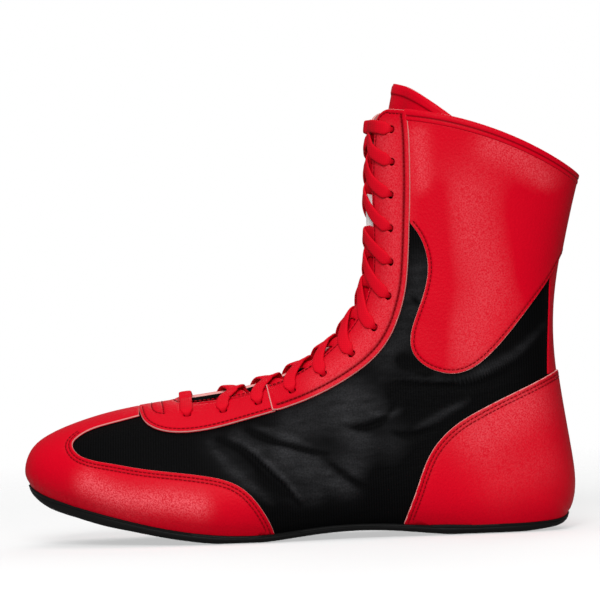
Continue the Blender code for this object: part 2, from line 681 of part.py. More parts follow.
def ribbon(name, stations, arounds, levels, finish):
    """A flat strip of lace that lies along a path over the skin."""
    centres = surface(stations, arounds, levels)
    ways = np.gradient(centres, axis=0)
    normals = outward(stations, arounds)
    across = np.cross(ways, normals)
    across /= np.linalg.norm(across, axis=1, keepdims=True)
    rises = np.cross(across, ways)
    rises /= np.linalg.norm(rises, axis=1, keepdims=True)
    half_width = across * LACE_WIDTH / 2
    half_thick = rises * LACE_THICK / 2
    ring = [centres - half_width - half_thick, centres + half_width - half_thick,
            centres + half_width + half_thick, centres - half_width + half_thick]
    return closed_loft(name, np.stack(ring + ring[:1], axis=1), finish)


def strand_path(first, second, side, cross_level):
    """From an eyelet on one side, over its eyestay and across the throat, to the far edge."""
    start = eyelet_around(np.array([first]))[0]
    end = throat_around(np.array([second]))[0] * STRAND_REACH
    share = np.linspace(0, 1, 7)
    arounds = side * (start + (-end - start) * share)
    stations = first + (second - first) * share * STRAND_RISE
    crossing = start / (start + end)
    near_edge = (start - end) / (start + end)
    levels = np.interp(
        share, (0, near_edge, crossing, 1),
        (LACE_ON_EYESTAY, LACE_ON_EYESTAY, cross_level, LACE_AT_FAR_EDGE))
    return stations, arounds, levels


def make_laces(finish):
    """A bar at each end of the throat, and a crossing above each row of eyelets between them."""
    stations = eyelet_stations()
    for name, station in (("lace_bar_bottom", stations[0]), ("lace_bar_top", stations[-1])):
        end = eyelet_around(np.array([station]))[0]
        arounds = np.linspace(-end, end, 7)
        ribbon(name, np.full(7, station), arounds, np.full(7, LACE_ON_EYESTAY), finish)
    for row, (first, second) in enumerate(zip(stations[1:-1], stations[2:]), start=2):
        name = f"lace_cross_{row:02d}"
        item = ribbon(name, *strand_path(first, second, -1, LACE_OVER_CROSS), finish)
        under = ribbon(name + "_under", *strand_path(first, second, 1, LACE_UNDER_CROSS), finish)
        combine(item, as_cutter(under), "UNION")


def collar_point(around, drop, level):
    """A point near the collar, a distance below its edge."""
    spacing = np.linalg.norm(skin(COLLAR, around) - skin(COLLAR - 0.5, around), axis=-1) / 0.5
    return surface(COLLAR - drop / spacing, around, level)


def make_collar_binding(finish):
    """A strip of leather folded over the collar's edge, from one eyestay round to the other."""
    columns = shell_arounds(np.array([COLLAR]))[0]
    side = np.concatenate([[-BINDING_START], columns[columns < -BINDING_START][::-1]])
    arounds = np.concatenate([side, -side[::-1][1:]])
    ring = [collar_point(arounds, drop, np.full_like(arounds, level)) for drop, level in BINDING_PROFILE]
    return closed_loft("collar_binding", np.stack(ring + ring[:1], axis=1), finish)


def make_tongue_label(finish):
    """A plain woven patch on the middle of the tongue, below the laces."""
    along = np.linspace(LABEL_ROWS[0], LABEL_ROWS[1], 4)[:, None]
    across = np.linspace(-LABEL_ACROSS, LABEL_ACROSS, 5)[None, :]
    outer = tongue_point(along, across, np.full((1, 1), TONGUE_IN_THROAT - LABEL_OUT))
    inner = tongue_point(along, across, np.full((1, 1), TONGUE_IN_THROAT - LABEL_IN))
    return thick_sheet("tongue_label", outer, inner, finish)


def main():
    clear_scene()
    leather = finish_of("red leather", RED_LEATHER)
    fabric = finish_of("black fabric", BLACK_FABRIC)
    rubber = finish_of("black rubber", BLACK_RUBBER)
    footbed = finish_of("dark footbed", GREY_INSOLE)
    lace = finish_of("red lace", RED_LACE)
    woven = finish_of("white label", WHITE_LABEL)
    make_outsole(rubber)
    make_insole(footbed)
    upper = make_upper(fabric)
    make_tongue(leather)
    overlays = make_overlays(leather)
    holes = make_hole_cutter()
    for item in (upper, overlays["eyestay_front"], overlays["eyestay_lateral"], overlays["eyestay_medial"]):
        combine(item, holes, "DIFFERENCE")
    make_collar_binding(leather)
    make_tongue_label(woven)
    make_laces(lace)


main()
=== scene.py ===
"""High laced boxing shoe for the left foot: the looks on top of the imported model.

Sizes in the tables are millimetres and the scene is in metres. +Z is up, the toe points to -X
and the outer side of the foot faces -Y, towards the camera.
"""

import math

import bmesh
import bpy
import numpy as np
from mathutils import Matrix, Vector, geometry, kdtree


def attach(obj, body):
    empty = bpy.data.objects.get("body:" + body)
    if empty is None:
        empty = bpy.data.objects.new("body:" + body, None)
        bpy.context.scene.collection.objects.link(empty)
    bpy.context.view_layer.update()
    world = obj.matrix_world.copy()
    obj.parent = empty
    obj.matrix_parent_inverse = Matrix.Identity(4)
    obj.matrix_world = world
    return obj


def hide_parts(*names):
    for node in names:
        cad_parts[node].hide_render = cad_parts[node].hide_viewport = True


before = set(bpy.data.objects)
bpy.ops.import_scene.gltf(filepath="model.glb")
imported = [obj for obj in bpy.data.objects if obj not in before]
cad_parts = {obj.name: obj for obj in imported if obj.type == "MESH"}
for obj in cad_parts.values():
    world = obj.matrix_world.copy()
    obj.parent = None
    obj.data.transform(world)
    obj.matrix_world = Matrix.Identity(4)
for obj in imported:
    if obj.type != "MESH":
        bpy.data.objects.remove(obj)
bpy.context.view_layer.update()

bl_info = {
    "name": "Boxing shoe",
    "version": (1, 0, 0),
    "blender": (4, 5, 0),
    "location": "3D View > Sidebar > Boxing shoe",
    "description": "Builds a high laced boxing shoe on its packed solids",
    "category": "Add Mesh",
}

MM = 0.001
# Corners closer than WELD millimetres are one, and NUDGE is the step that finds a rate of change.
WELD = 1e-3
NUDGE = 1e-3
# Steps to a span of a smooth curve.
CURVE_STEPS = 6
# Sockets of a colour Mix node, whose names repeat: its factor, its two colours and its result.
FACTOR = 0
UNDER = 6
OVER = 7
MIXED = 2

# Driving sizes, in millimetres.
LEATHER = 1.2
SEAT_GAP = 0.3
FABRIC_WALL = 1.6
SOLE_EDGE_TUCK = 1.4
# The rubber's rim above the sole's top, and its depth added below the toe, each along the shoe.
RIM_HEIGHTS = ((-146, 1.0), (-131, 1.0), (-121, 0.2), (60, 0.2), (70, 1.1), (102, 1.0), (118, 0.2))
TOE_DEPTHS = ((-146, 2.1), (-135, 2.0), (-120, 1.3), (-105, 1.2), (-92, 0.6), (-62, 0.0))
STUD_PITCH = 6.6
STUD_DEPTH = 0.5
INSOLE_THICK = 2.5
INSOLE_MARGIN = 0.9
INSOLE_ROUND = 0.9
INSOLE_CUP = 0.5
TONGUE_THICK = 2.0
BINDING_WIDTH = 5.0
LACE_WIDTH = 6.7
LACE_THICK = 1.6
EYELETS_PER_SIDE = 13
EYELET_RADIUS = 2.0

# Levels are distances along the outward normal from the overlays' outer face.
OVERLAY_IN = -LEATHER
UPPER_OUT = OVERLAY_IN - SEAT_GAP
UPPER_IN = UPPER_OUT - FABRIC_WALL
TONGUE_UNDER_EYESTAY = UPPER_IN - 1.6
TONGUE_ON_INSTEP = -3.4
TONGUE_ON_SHAFT = -0.6
EYESTAY_OUT = 0.3
STRIP_OUT = -0.95
BINDING_IN = OVERLAY_IN + 0.4
BINDING_LINING = UPPER_IN - 0.55
LABEL_RISE = 0.6
LACE_ON_EYESTAY = EYESTAY_OUT + 0.25 + LACE_THICK / 2
LACE_UNDER_CROSS = 0.4
LACE_OVER_CROSS = 1.3
LACE_SINKS = 1.9
LACE_TAUT = 2.6
LACE_AT_FAR_EDGE = -2.2
STRAND_RISES = (0.55, 0.65, 0.75, 0.8, 0.85, 0.85, 0.8, 0.35, 0.8, 0.8, 0.8)
STRAND_REACH = 0.72
LACE_INSIDE = UPPER_IN - 0.75
LACE_BEHIND = LACE_INSIDE - 0.4
# How the lace leaves an eyelet: distance from its middle, level and openness.
LACE_EXIT = (
    (0.9, LACE_INSIDE, 0.0), (0.95, -0.7, 0.05), (1.6, 0.65, 0.5), (2.7, 1.15, 0.88),
    (3.9, 1.3, 1.0),
)
# Width and depth of the round bundle that the lace makes in an eyelet.
BUNDLE_WIDTH = 2.6
BUNDLE_DEPTH = 1.9
# Stations between which the instep turns into the shaft, and where the lace is drawn taut.
ANKLE_BEND = (9.5, 12.5)
TAUT_STATIONS = (17.0, 19.8)

# Moves the middle of the overall box onto the origin.
BOX_SHIFT_X = 0.2
BOX_SHIFT_Y = -0.6

# One row for each section of the last, from the toe tip to above the collar. A section lies
# between a point of the sole or back line (base) and a point of the top or front line (ridge).
# feather is the half width at the sole's edge, and below zero once the heel has closed.
# taper narrows the ridge end, fullness rounds both ends, and bow lifts the section's middle.
# throat is half the width of the laced opening, and eyelet the distance from its edge to the
# row of eyelets.
SECTION_COLUMNS = (
    "ridge_x", "ridge_z", "base_x", "base_z", "tread_z", "half_width", "feather",
    "centre_y", "taper", "fullness", "bow", "throat", "eyelet",
)
SECTIONS = (
    (-145.0, 31.0, -145.0, 31.0, 29.4, 0.0, 0.0, 7.0, 0.10, 0.00, 0.0, 7.0, 13.5),
    (-147.0, 39.5, -142.0, 28.6, 26.2, 13.5, 11.5, 7.0, 0.10, 0.00, 0.0, 7.0, 13.5),
    (-143.5, 49.5, -135.5, 25.2, 21.8, 23.0, 20.0, 6.6, 0.10, 0.00, 0.0, 7.0, 13.5),
    (-134.0, 57.2, -124.0, 21.4, 17.2, 31.5, 27.5, 6.0, 0.12, 0.00, 0.0, 7.0, 13.5),
    (-117.0, 63.9, -107.5, 16.6, 12.0, 39.5, 35.0, 5.0, 0.15, 0.00, 0.0, 7.0, 13.5),
    (-96.0, 69.2, -86.5, 11.0, 6.7, 44.6, 40.5, 3.5, 0.18, 0.00, 0.0, 7.0, 13.5),
    (-72.5, 72.6, -63.5, 6.2, 1.9, 47.2, 43.5, 2.0, 0.26, 0.00, 0.0, 7.0, 13.5),
    (-51.5, 75.1, -40.5, 3.6, -0.4, 47.6, 44.0, 0.5, 0.32, 0.00, 0.0, 8.5, 12.2),
    (-30.7, 78.8, -17.5, 3.8, 0.4, 45.2, 41.0, -1.0, 0.32, 0.00, 0.0, 9.5, 10.8),
    (-12.3, 84.5, 8.0, 6.2, 3.0, 41.6, 35.0, -1.5, 0.28, 0.03, 0.0, 10.5, 10.6),
    (2.4, 92.0, 38.5, 6.4, 3.3, 38.6, 30.5, -1.0, 0.20, 0.10, 0.0, 11.5, 10.8),
    (14.3, 101.4, 72.0, 4.2, 0.0, 36.5, 29.5, 0.0, 0.10, 0.20, 0.0, 12.5, 12.2),
    (23.4, 112.0, 103.0, 4.0, -0.5, 35.0, 28.0, 0.0, 0.04, 0.28, 0.0, 13.5, 13.2),
    (29.0, 121.8, 125.0, 5.0, 1.2, 34.5, 20.4, 0.0, 0.00, 0.30, 0.0, 14.2, 13.8),
    (32.0, 130.0, 135.0, 8.4, 4.6, 34.5, 0.0, 0.0, 0.00, 0.30, 0.0, 14.6, 14.4),
    (34.0, 138.2, 139.0, 21.6, 18.0, 34.0, -22.0, 0.0, 0.00, 0.30, 0.0, 14.8, 14.6),
    (34.8, 150.2, 137.4, 42.5, 40.0, 33.5, -40.0, 0.0, 0.00, 0.30, 0.0, 14.8, 14.6),
    (35.2, 163.2, 133.7, 68.7, 66.0, 33.0, -40.0, 0.0, 0.00, 0.30, 0.0, 14.8, 14.6),
    (35.2, 178.8, 131.3, 94.8, 92.0, 33.0, -40.0, 0.0, 0.00, 0.28, 1.0, 14.8, 14.6),
    (35.7, 194.4, 132.5, 120.7, 118.0, 33.5, -40.0, 0.0, 0.00, 0.25, 3.0, 14.8, 14.4),
    (36.7, 207.4, 137.3, 146.6, 144.0, 34.5, -40.0, 0.0, 0.00, 0.20, 5.0, 15.6, 12.2),
    (38.7, 220.3, 146.5, 182.2, 180.0, 36.0, -40.0, 0.0, 0.00, 0.15, 7.8, 23.0, 4.0),
    (42.3, 236.0, 152.0, 199.0, 197.0, 36.8, -40.0, 0.0, 0.00, 0.15, 8.0, 30.0, 4.0),
)
HEEL_CLOSED = 14.0
ROUND_HEEL_FROM = 11.0
THROAT_START = 6.32
COLLAR = 21.0

# Overlay edges in the side view, as (x, z) points of a smooth curve.
TOE_CAP_EDGE = (
    (-85.7, 66.7), (-100.6, 63.3), (-110.6, 60.6), (-117.6, 57.0), (-120.6, 53.4),
    (-119.2, 49.6), (-113.4, 45.8), (-101.3, 43.0), (-87.0, 40.2), (-69.2, 37.6),
    (-51.4, 35.0), (-40.0, 32.0), (-33.6, 28.6), (-27.2, 22.4), (-22.4, 15.2),
    (-19.2, 8.6), (-16.6, 0.0),
)
EYESTAY_EDGE = (
    (-86.0, 69.6), (-83.3, 64.1), (-78.2, 60.4), (-72.0, 58.4), (-63.9, 57.6),
    (-47.5, 59.2), (-34.3, 62.2), (-15.4, 66.9), (-1.4, 71.2), (11.9, 76.6),
    (25.2, 83.8), (35.3, 91.2), (42.1, 98.6), (47.0, 106.8), (50.4, 115.2),
    (53.3, 126.0), (55.0, 138.3), (56.5, 159.2), (57.5, 177.1), (57.9, 195.0),
    (57.7, 209.2), (56.9, 218.0),
)
PANEL_EDGE = (
    (57.0, 160.0), (60.5, 155.1), (63.5, 148.5), (65.2, 140.0), (64.6, 131.6),
    (61.6, 121.1), (57.6, 110.8), (55.3, 103.0), (55.3, 96.4), (57.8, 91.0),
    (63.3, 86.2), (69.8, 83.4), (76.9, 82.4), (83.5, 83.7), (90.1, 87.2),
    (96.9, 92.8), (105.0, 101.1), (118.6, 117.1), (127.5, 128.3), (133.2, 137.1),
    (139.0, 147.0),
)
COUNTER_EDGE = (
    (145.0, 88.4), (130.5, 81.6), (114.5, 74.6), (101.1, 68.8), (87.8, 62.5),
    (77.8, 56.8), (69.7, 50.1), (63.6, 42.4), (59.2, 33.4), (55.2, 22.6),
    (51.2, 12.6), (46.2, 0.0),
)
STRIP_EDGE = ((129.6, 131.4), (128.5, 110.0), (127.0, 90.0), (126.4, 80.4))
SEAM_TOP = (-19.5, 84.0)
EYESTAY_SEAM_POINT = 7

# Rows of eyelets and the tongue's label.
FIRST_EYELET = 6.5
LAST_EYELET = 20.4
EYELET_CROWDING = 0.06
LABEL_ROWS = (0.66, 0.755)
LABEL_ACROSS = 0.16
# The tongue: where it starts, how high its middle and its sides reach, and how it lies.
TONGUE_START = 5.6
TONGUE_TOP = 21.86
TONGUE_SIDE_TOP = 20.8
TONGUE_AROUND_LOW = 0.30
TONGUE_AROUND_HIGH = 0.46
TONGUE_LEAN = 9.4
TONGUE_LEAN_FROM = 18.5
TONGUE_LEAN_TO = 21.0
TONGUE_HEM = 4.8
TONGUE_LENGTH = 250.0

# The last station of the patterns, and the throat's round ends at its front and at the collar.
LAST_STATION = 21.9
THROAT_BEND = 0.25
CORNER_FROM = 19.4
CORNER_STRAIGHT = 19.9
CORNER_RADIUS = 9.0
CORNER_REACH = 15.0

# How far the throat stands open along its stations, up on the inner side and down on the outer.
FAR_EDGE_RISE = (
    (6.1, 0.0), (6.5, 1.9), (7.2, 2.4), (8.2, 2.3), (10.2, 2.1), (12.5, 1.0),
    (18.5, 1.0), (20.4, 3.0),
)
NEAR_EDGE_DIP = ((6.2, 0.0), (6.5, 1.6), (7.4, 1.7), (8.4, 0.9), (9.8, 0.3), (11.0, 0.0))

# Leather panels: the eyestay's seam and half moon, the rings and lattice of points that fill a
# panel, its rounded edge, the grooves of its seams with shade painted in them, its lap, its pale
# raw edges, and the shade painted towards the sole.
SEAM_OVERLAP = 0.07
HALF_MOON = (
    ((-79.6, 71.2), (-78.6, 68.8), (-76.2, 67.2), (-72.8, 66.7)),
    ((-74.4, 72.6), (-73.4, 70.0), (-72.8, 66.7)),
)
EDGE_RINGS = (0.25, 0.6, 1.2, 1.8, 2.3, 2.8, 3.6, 4.6)
LATTICE = 2.6
EDGE_ROUND = 0.55
GROOVE_DEPTH = 0.28
GROOVE_WIDTH = 0.55
GROOVE_SHADE = 0.45
PANEL_SPACING = 0.8
HOLE_POINTS = 20
LAP_RISE = 1.3
LAP_WIDTH = 2.4
BARED_WIDTH = 0.85
RAW_EDGE_WIDTH = 0.31
# Painted shade: how high above the sole the deeper red reaches.
PAINTED_SHADE_HEIGHT = 15.0
STRIP_PALE = 0.1

# Patches of painted sheen, standing for highlights, on the leather and on the fabric, as side
# view lines with a strength and a width. Below zero takes painted sheen away.
PAINTED_LEATHER_SHEEN = (
    (((-112, 33), (-97, 26), (-72, 23), (-56, 20.5)), 0.60, 6.0),
    (((47, 205), (49, 160), (45, 122), (30, 96), (8, 79)), 0.25, 7.5),
    (((63, 205), (64, 180)), 0.30, 5.0),
    (((100, 198), (116, 190), (126, 180)), 0.34, 8.0),
    (((87, 172), (92, 140), (95, 125), (88, 109), (85, 95)), 0.26, 16.0),
    (((71, 175), (71, 128), (68, 92)), -0.22, 6.5),
    (((122, 165), (124, 133)), -0.30, 12.0),
    (((90, 52), (112, 66)), 0.34, 14.0),
    (((100, 28), (120, 34)), 0.12, 12.0),
)
PAINTED_FABRIC_SHEEN = (
    (((-6, 60), (8, 65), (22, 74)), 0.36, 9.0),
    (((-12, 45), (4, 37), (19, 30)), 0.48, 8.0),
    (((-47, 50), (-34, 36)), 0.10, 7.0),
    (((-35, 55), (-25, 49)), 0.24, 4.0),
    (((-14, 29), (-6, 24), (4, 23)), 0.20, 5.0),
    (((32, 67), (22, 57), (28, 48), (26, 41)), 0.36, 8.5),
    (((45, 51), (44, 40)), 0.16, 8.0),
    (((42, 92), (49, 100), (61, 136)), 0.26, 8.0),
    (((50, 75), (59, 70), (72, 73)), -0.30, 6.0),
    (((29, 36), (60, 34)), -0.12, 9.0),
    (((50, 91), (56, 87), (63, 84.5)), -0.40, 3.0),
    (((74, 73), (95, 76), (114, 86)), -0.20, 5.0),
)

# Creases of the fabric on the outer side, as side view lines with a height and a width. Below
# zero is a trough. The inner side gets the same ones.
CREASES = (
    (((-45, 54), (-31, 47), (-23, 39), (-14, 31), (-4, 19)), -1.5, 1.9),
    (((-24, 37), (-14, 28), (-8, 23)), -0.8, 3.2),
    (((-39, 55), (-26, 46.5), (-15, 36), (-8, 27.5), (-3, 20.5)), 1.0, 1.8),
    (((-50, 52), (-39, 39), (-27, 28), (-18, 20)), 0.8, 2.6),
    (((-30, 58), (-20, 53), (-10, 50), (2, 46), (11, 44)), -1.3, 1.5),
    (((-27, 60), (-13, 55), (2, 49.5)), 0.7, 1.8),
    (((9, 42), (17, 35), (23, 30), (29, 26)), -1.2, 2.2),
    (((18, 59), (28, 57), (37, 59), (45, 66)), -1.3, 1.9),
    (((33, 64), (43, 63), (51, 66)), 0.7, 2.0),
    (((44, 54), (56, 51.5), (64, 53.5)), -0.9, 1.4),
    (((56, 55), (70, 62), (88, 71)), 0.9, 2.0),
    (((39, 81), (64, 80), (85, 80), (93, 84), (106, 90), (116, 97), (126, 106)), 1.1, 1.9),
    (((44, 84.5), (60, 83.5), (76, 83)), 0.5, 1.4),
    (((50, 77), (74, 76), (95, 78), (112, 86)), -0.9, 2.4),
    (((56, 122), (60, 118)), -0.7, 1.8),
)
CREASE_STEPS = 24
CREASE_NARROWEST = 1.4
CREASE_LIMITS = (-1.3, 0.9)
# A crease's ridge adds painted sheen to the fabric and its trough takes it away, this much a millimetre.
CREASE_SHEEN = 0.42
# The inner side's creases lie this much further along and lower.
INNER_CREASES = (4.0, -3.0)

# The fabric's grid, and how far it stays inside the eyestay's rounded corner.
FABRIC_SPACING = 1.35
NEAR_COLUMNS = 96
THROAT_COLUMNS = 7
FAR_COLUMNS = 54
CORNER_MARGIN = 0.012

# Stitches, and the distances of the eyestay's rows from its edges.
STITCH_PITCH = 2.3
STITCH_LENGTH = 1.75
STITCH_THICK = 0.6
STITCH_SINK = 0.12
ROW_SPACING = 1.8
FRONT_EDGE_ROW = 1.9
FRONT_THROAT_ROW = 2.4
SHAFT_THROAT_ROW = 1.8
SHAFT_EDGE_ROW = 3.2
CAP_ROWS_FROM = 17

# The stage in metres: floor, camera, and lights as (name, place, size, power) rows.
FLOOR_RADIUS = 1.8
FLOOR_DROP = 0.0004
PHOTO_SCALE = 0.00052017
PHOTO_WIDTH = 600
SENSOR = 36.0
CAMERA_AWAY = 2.0
CAMERA_ROLL = -2.0
CAMERA_PLACE = (-0.00044, -CAMERA_AWAY, 0.12278)
LIGHTS = (
    ("key", (-0.2, -2.0, 1.15), 1.1, 46.0),
    ("top", (-0.3, 0.0, 2.0), 1.6, 12.0),
    ("back", (0.5, 2.0, 1.2), 1.6, 14.0),
)
LIGHTS_AIM = (0, 0, 0.1)


def run_along(points):
    """Distances along a line of points, from 0 at its start."""
    return np.concatenate([[0.0], np.cumsum(np.linalg.norm(np.diff(points, axis=0), axis=1))])


def spline_bends(knots, values):
    """Second derivatives at the knots of the natural cubic curve through a table."""
    count = len(knots)
    step = np.diff(knots)
    system = np.eye(count)
    right = np.zeros_like(values)
    for i in range(1, count - 1):
        system[i, i - 1] = step[i - 1]
        system[i, i] = 2 * (step[i - 1] + step[i])
        system[i, i + 1] = step[i]
        slope_after = (values[i + 1] - values[i]) / step[i]
        slope_before = (values[i] - values[i - 1]) / step[i - 1]
        right[i] = 6 * (slope_after - slope_before)
    return np.linalg.solve(system, right)


def spline_at(knots, values, bends, place):
    """The curve's columns at each place along the knots."""
    place = np.clip(place, knots[0], knots[-1])
    left = np.clip(np.searchsorted(knots, place, side="right") - 1, 0, len(knots) - 2)
    width = (knots[left + 1] - knots[left])[..., None]
    after = ((place - knots[left]) / width[..., 0])[..., None]
    before = 1 - after
    curve = before * values[left] + after * values[left + 1]
    bend = (before**3 - before) * bends[left] + (after**3 - after) * bends[left + 1]
    return curve + bend * width**2 / 6


TABLE = np.array(SECTIONS, float)
SPACING_COLUMNS = [SECTION_COLUMNS.index(name) for name in (
    "ridge_x", "ridge_z", "base_x", "base_z", "half_width", "feather")]
KNOTS = run_along(TABLE[:, SPACING_COLUMNS])
BENDS = spline_bends(KNOTS, TABLE)
FEATHER = TABLE[:, [SECTION_COLUMNS.index("feather")]]
HEEL_SQUARES = FEATHER * np.abs(FEATHER)
HEEL_BENDS = spline_bends(KNOTS, HEEL_SQUARES)


def section_at(station):
    """Every column of the section table at a station, which counts rows from the toe."""
    station = np.asarray(station, float)
    place = np.interp(station, np.arange(len(KNOTS)), KNOTS)
    columns = spline_at(KNOTS, TABLE, BENDS, place)
    section = {name: columns[..., i] for i, name in enumerate(SECTION_COLUMNS)}
    section["tread_z"] = np.maximum(section["tread_z"], 0.0)
    square = spline_at(KNOTS, HEEL_SQUARES, HEEL_BENDS, place)[..., 0]
    round_end = np.sqrt(np.maximum(square, 0.0))
    section["feather"] = np.where(station < ROUND_HEEL_FROM, section["feather"], round_end)
    section["feather"] = np.where(station < HEEL_CLOSED, section["feather"], 0.0)
    return section


def breadth(section, angle):
    """Share of the half width at an angle round the section: 0 at the base, pi at the ridge."""
    cosine = np.cos(angle)
    return np.sin(angle) * (1 + section["taper"] * cosine + section["fullness"] * cosine**2)


def angle_where(section, reach, low, high):
    """The angle between low and high at which the section is reach wide to one side."""
    share = reach / np.maximum(section["half_width"], 1e-6)
    low = np.zeros_like(share) + low
    high = np.zeros_like(share) + high
    rising = breadth(section, high) > breadth(section, low)
    for _ in range(40):
        middle = (low + high) / 2
        go_up = (breadth(section, middle) < share) == rising
        low = np.where(go_up, middle, low)
        high = np.where(go_up, high, middle)
    return (low + high) / 2


def base_angle(section):
    """The angle at which a section meets the sole's edge."""
    return angle_where(section, section["feather"], 0.0, math.pi / 2)


def skin(station, around):
    """A point of the overlays' outer face. around is -1 at the outer side's base, 0 on the
    ridge and 1 at the inner side's base."""
    station, around = np.broadcast_arrays(np.asarray(station, float), np.asarray(around, float))
    section = section_at(station)
    start = base_angle(section)
    angle = math.pi - np.abs(around) * (math.pi - start)
    return section_point(section, start, angle, np.where(around < 0, -1.0, 1.0))


def laid(line):
    """Points of the skin at (station, around) rows."""
    return skin(line[:, 0], line[:, 1])


def section_point(section, start, angle, side):
    """A point of a section at an angle round it: start at the base, pi at the ridge."""
    along = (np.cos(start) - np.cos(angle)) / (1 + np.cos(start))
    run_x = section["ridge_x"] - section["base_x"]
    run_z = section["ridge_z"] - section["base_z"]
    length = np.maximum(np.hypot(run_x, run_z), 1e-6)
    lift = section["bow"] * 4 * along * (1 - along)
    x = section["base_x"] + run_x * along + lift * run_z / length
    z = section["base_z"] + run_z * along - lift * run_x / length
    y = section["centre_y"] + side * section["half_width"] * breadth(section, angle)
    return np.stack([x + BOX_SHIFT_X, y + BOX_SHIFT_Y, z], axis=-1)


def outward(station, around):
    """Unit normals of the skin. At the sole's edge they lie level, so that walls stand on it."""
    station, around = np.broadcast_arrays(np.asarray(station, float), np.asarray(around, float))
    inside = np.maximum(station, 5 * NUDGE)
    along = skin(inside + NUDGE, around) - skin(inside - NUDGE, around)
    across = skin(inside, around + NUDGE) - skin(inside, around - NUDGE)
    normal = np.cross(along, across)
    section = section_at(inside)
    middle = np.stack([
        (section["ridge_x"] + section["base_x"]) / 2 + BOX_SHIFT_X,
        section["centre_y"] + BOX_SHIFT_Y,
        (section["ridge_z"] + section["base_z"]) / 2,
    ], axis=-1)
    facing = np.sum(normal * (skin(inside, around) - middle), axis=-1, keepdims=True)
    normal = np.where(facing < 0, -normal, normal)
    level = (np.abs(around) > 1 - NUDGE) & (station <= HEEL_CLOSED + NUDGE)
    normal[..., 2] = np.where(level, 0.0, normal[..., 2])
    normal = np.where(station[..., None] < NUDGE, np.array([-1.0, 0.0, 0.0]), normal)
    return normal / np.linalg.norm(normal, axis=-1, keepdims=True)


def surface(station, around, level):
    """A point at a distance (level) outside the overlays' outer face."""
    return skin(station, around) + outward(station, around) * np.asarray(level)[..., None]


def around_at_reach(station, reach):
    """How far round from the ridge the skin is reach away from the shoe's middle line."""
    section = section_at(station)
    start = base_angle(section)
    reach = np.minimum(reach, 0.55 * section["half_width"])
    angle = angle_where(section, reach, math.pi / 2, math.pi)
    return (math.pi - angle) / (math.pi - start)


def throat_around(station):
    """How far round from the ridge the throat's edge lies."""
    return around_at_reach(station, section_at(station)["throat"])


def ramp(value, low, high):
    """Goes smoothly from 0 at low to 1 at high."""
    share = np.clip((value - low) / (high - low), 0, 1)
    return share * share * (3 - 2 * share)


def tongue_point(share_along, share_across, depth):
    """A point of the tongue: along from its root to its top, across from -1 to 1."""
    top = TONGUE_TOP - (TONGUE_TOP - TONGUE_SIDE_TOP) * share_across**2
    station = TONGUE_START + (top - TONGUE_START) * share_along
    spread = TONGUE_AROUND_LOW + (TONGUE_AROUND_HIGH - TONGUE_AROUND_LOW) * share_along
    around = spread * share_across
    throat = throat_around(station)
    crown = ramp(1 - np.abs(around) / throat, 0.1, 0.9) * ramp(station, TONGUE_START, 7.5)
    raised = TONGUE_ON_INSTEP + (TONGUE_ON_SHAFT - TONGUE_ON_INSTEP) * ramp(station, *ANKLE_BEND)
    level = TONGUE_UNDER_EYESTAY + (raised - TONGUE_UNDER_EYESTAY) * crown
    point = surface(station, around, level - depth)
    lean = TONGUE_LEAN * ramp(station, TONGUE_LEAN_FROM, TONGUE_LEAN_TO)
    point[..., 0] += lean * (1 - share_across**2) ** 2
    return point


def smooth_curve(points, steps=CURVE_STEPS):
    """Points along the smooth curve through the given ones, with this many steps to a span."""
    points = np.array(points, float)
    knots = run_along(points)
    places = np.interp(np.arange(0, len(points) - 1 + 1e-6, 1 / steps), np.arange(len(points)), knots)
    return spline_at(knots, points, spline_bends(knots, points), places)


def eyelet_around(station):
    """How far round from the ridge the row of eyelets lies, a set distance from the throat's edge."""
    edge = throat_around(station)
    rate = np.linalg.norm(skin(station, edge + NUDGE) - skin(station, edge), axis=-1) / NUDGE
    return edge + section_at(station)["eyelet"] / rate


def eyelet_stations():
    """Stations of the eyelets along their row, a little closer together near the collar."""
    fine = np.linspace(FIRST_EYELET, LAST_EYELET, 400)
    length = run_along(skin(fine, eyelet_around(fine)))
    share = np.linspace(0, 1, EYELETS_PER_SIDE)
    share = share + EYELET_CROWDING * share * (1 - share)
    return np.interp(share * length[-1], length, fine)


def collar_spacing(around):
    """Millimetres to a station, just below the collar."""
    return np.linalg.norm(skin(COLLAR, around) - skin(COLLAR - 0.5, around), axis=-1) / 0.5


def collar_point(around, drop, level):
    """A point near the collar, a distance below its edge."""
    return surface(COLLAR - drop / collar_spacing(around), around, level)


# Placing side view points on the skin

LOOKUP_STATIONS = np.linspace(0.02, 21.8, 300)
LOOKUP_AROUNDS = np.linspace(0.0, 1.0, 61)
LOOKUP = skin(LOOKUP_STATIONS[:, None], -LOOKUP_AROUNDS[None, :])[..., [0, 2]].reshape(-1, 2)


def at_angle(station, angle, side):
    """A point of the skin by station and angle, which move it smoothly past the heel's end."""
    section = section_at(station)
    return section_point(section, base_angle(section), angle, side)


def angle_of(line):
    """Angles and sides of (station, around) rows."""
    start = base_angle(section_at(line[:, 0]))
    return math.pi - np.abs(line[:, 1]) * (math.pi - start), np.where(line[:, 1] < 0, -1.0, 1.0)


def around_of(station, angle):
    """How far round from the ridge an angle lies."""
    return (math.pi - angle) / (math.pi - base_angle(section_at(station)))


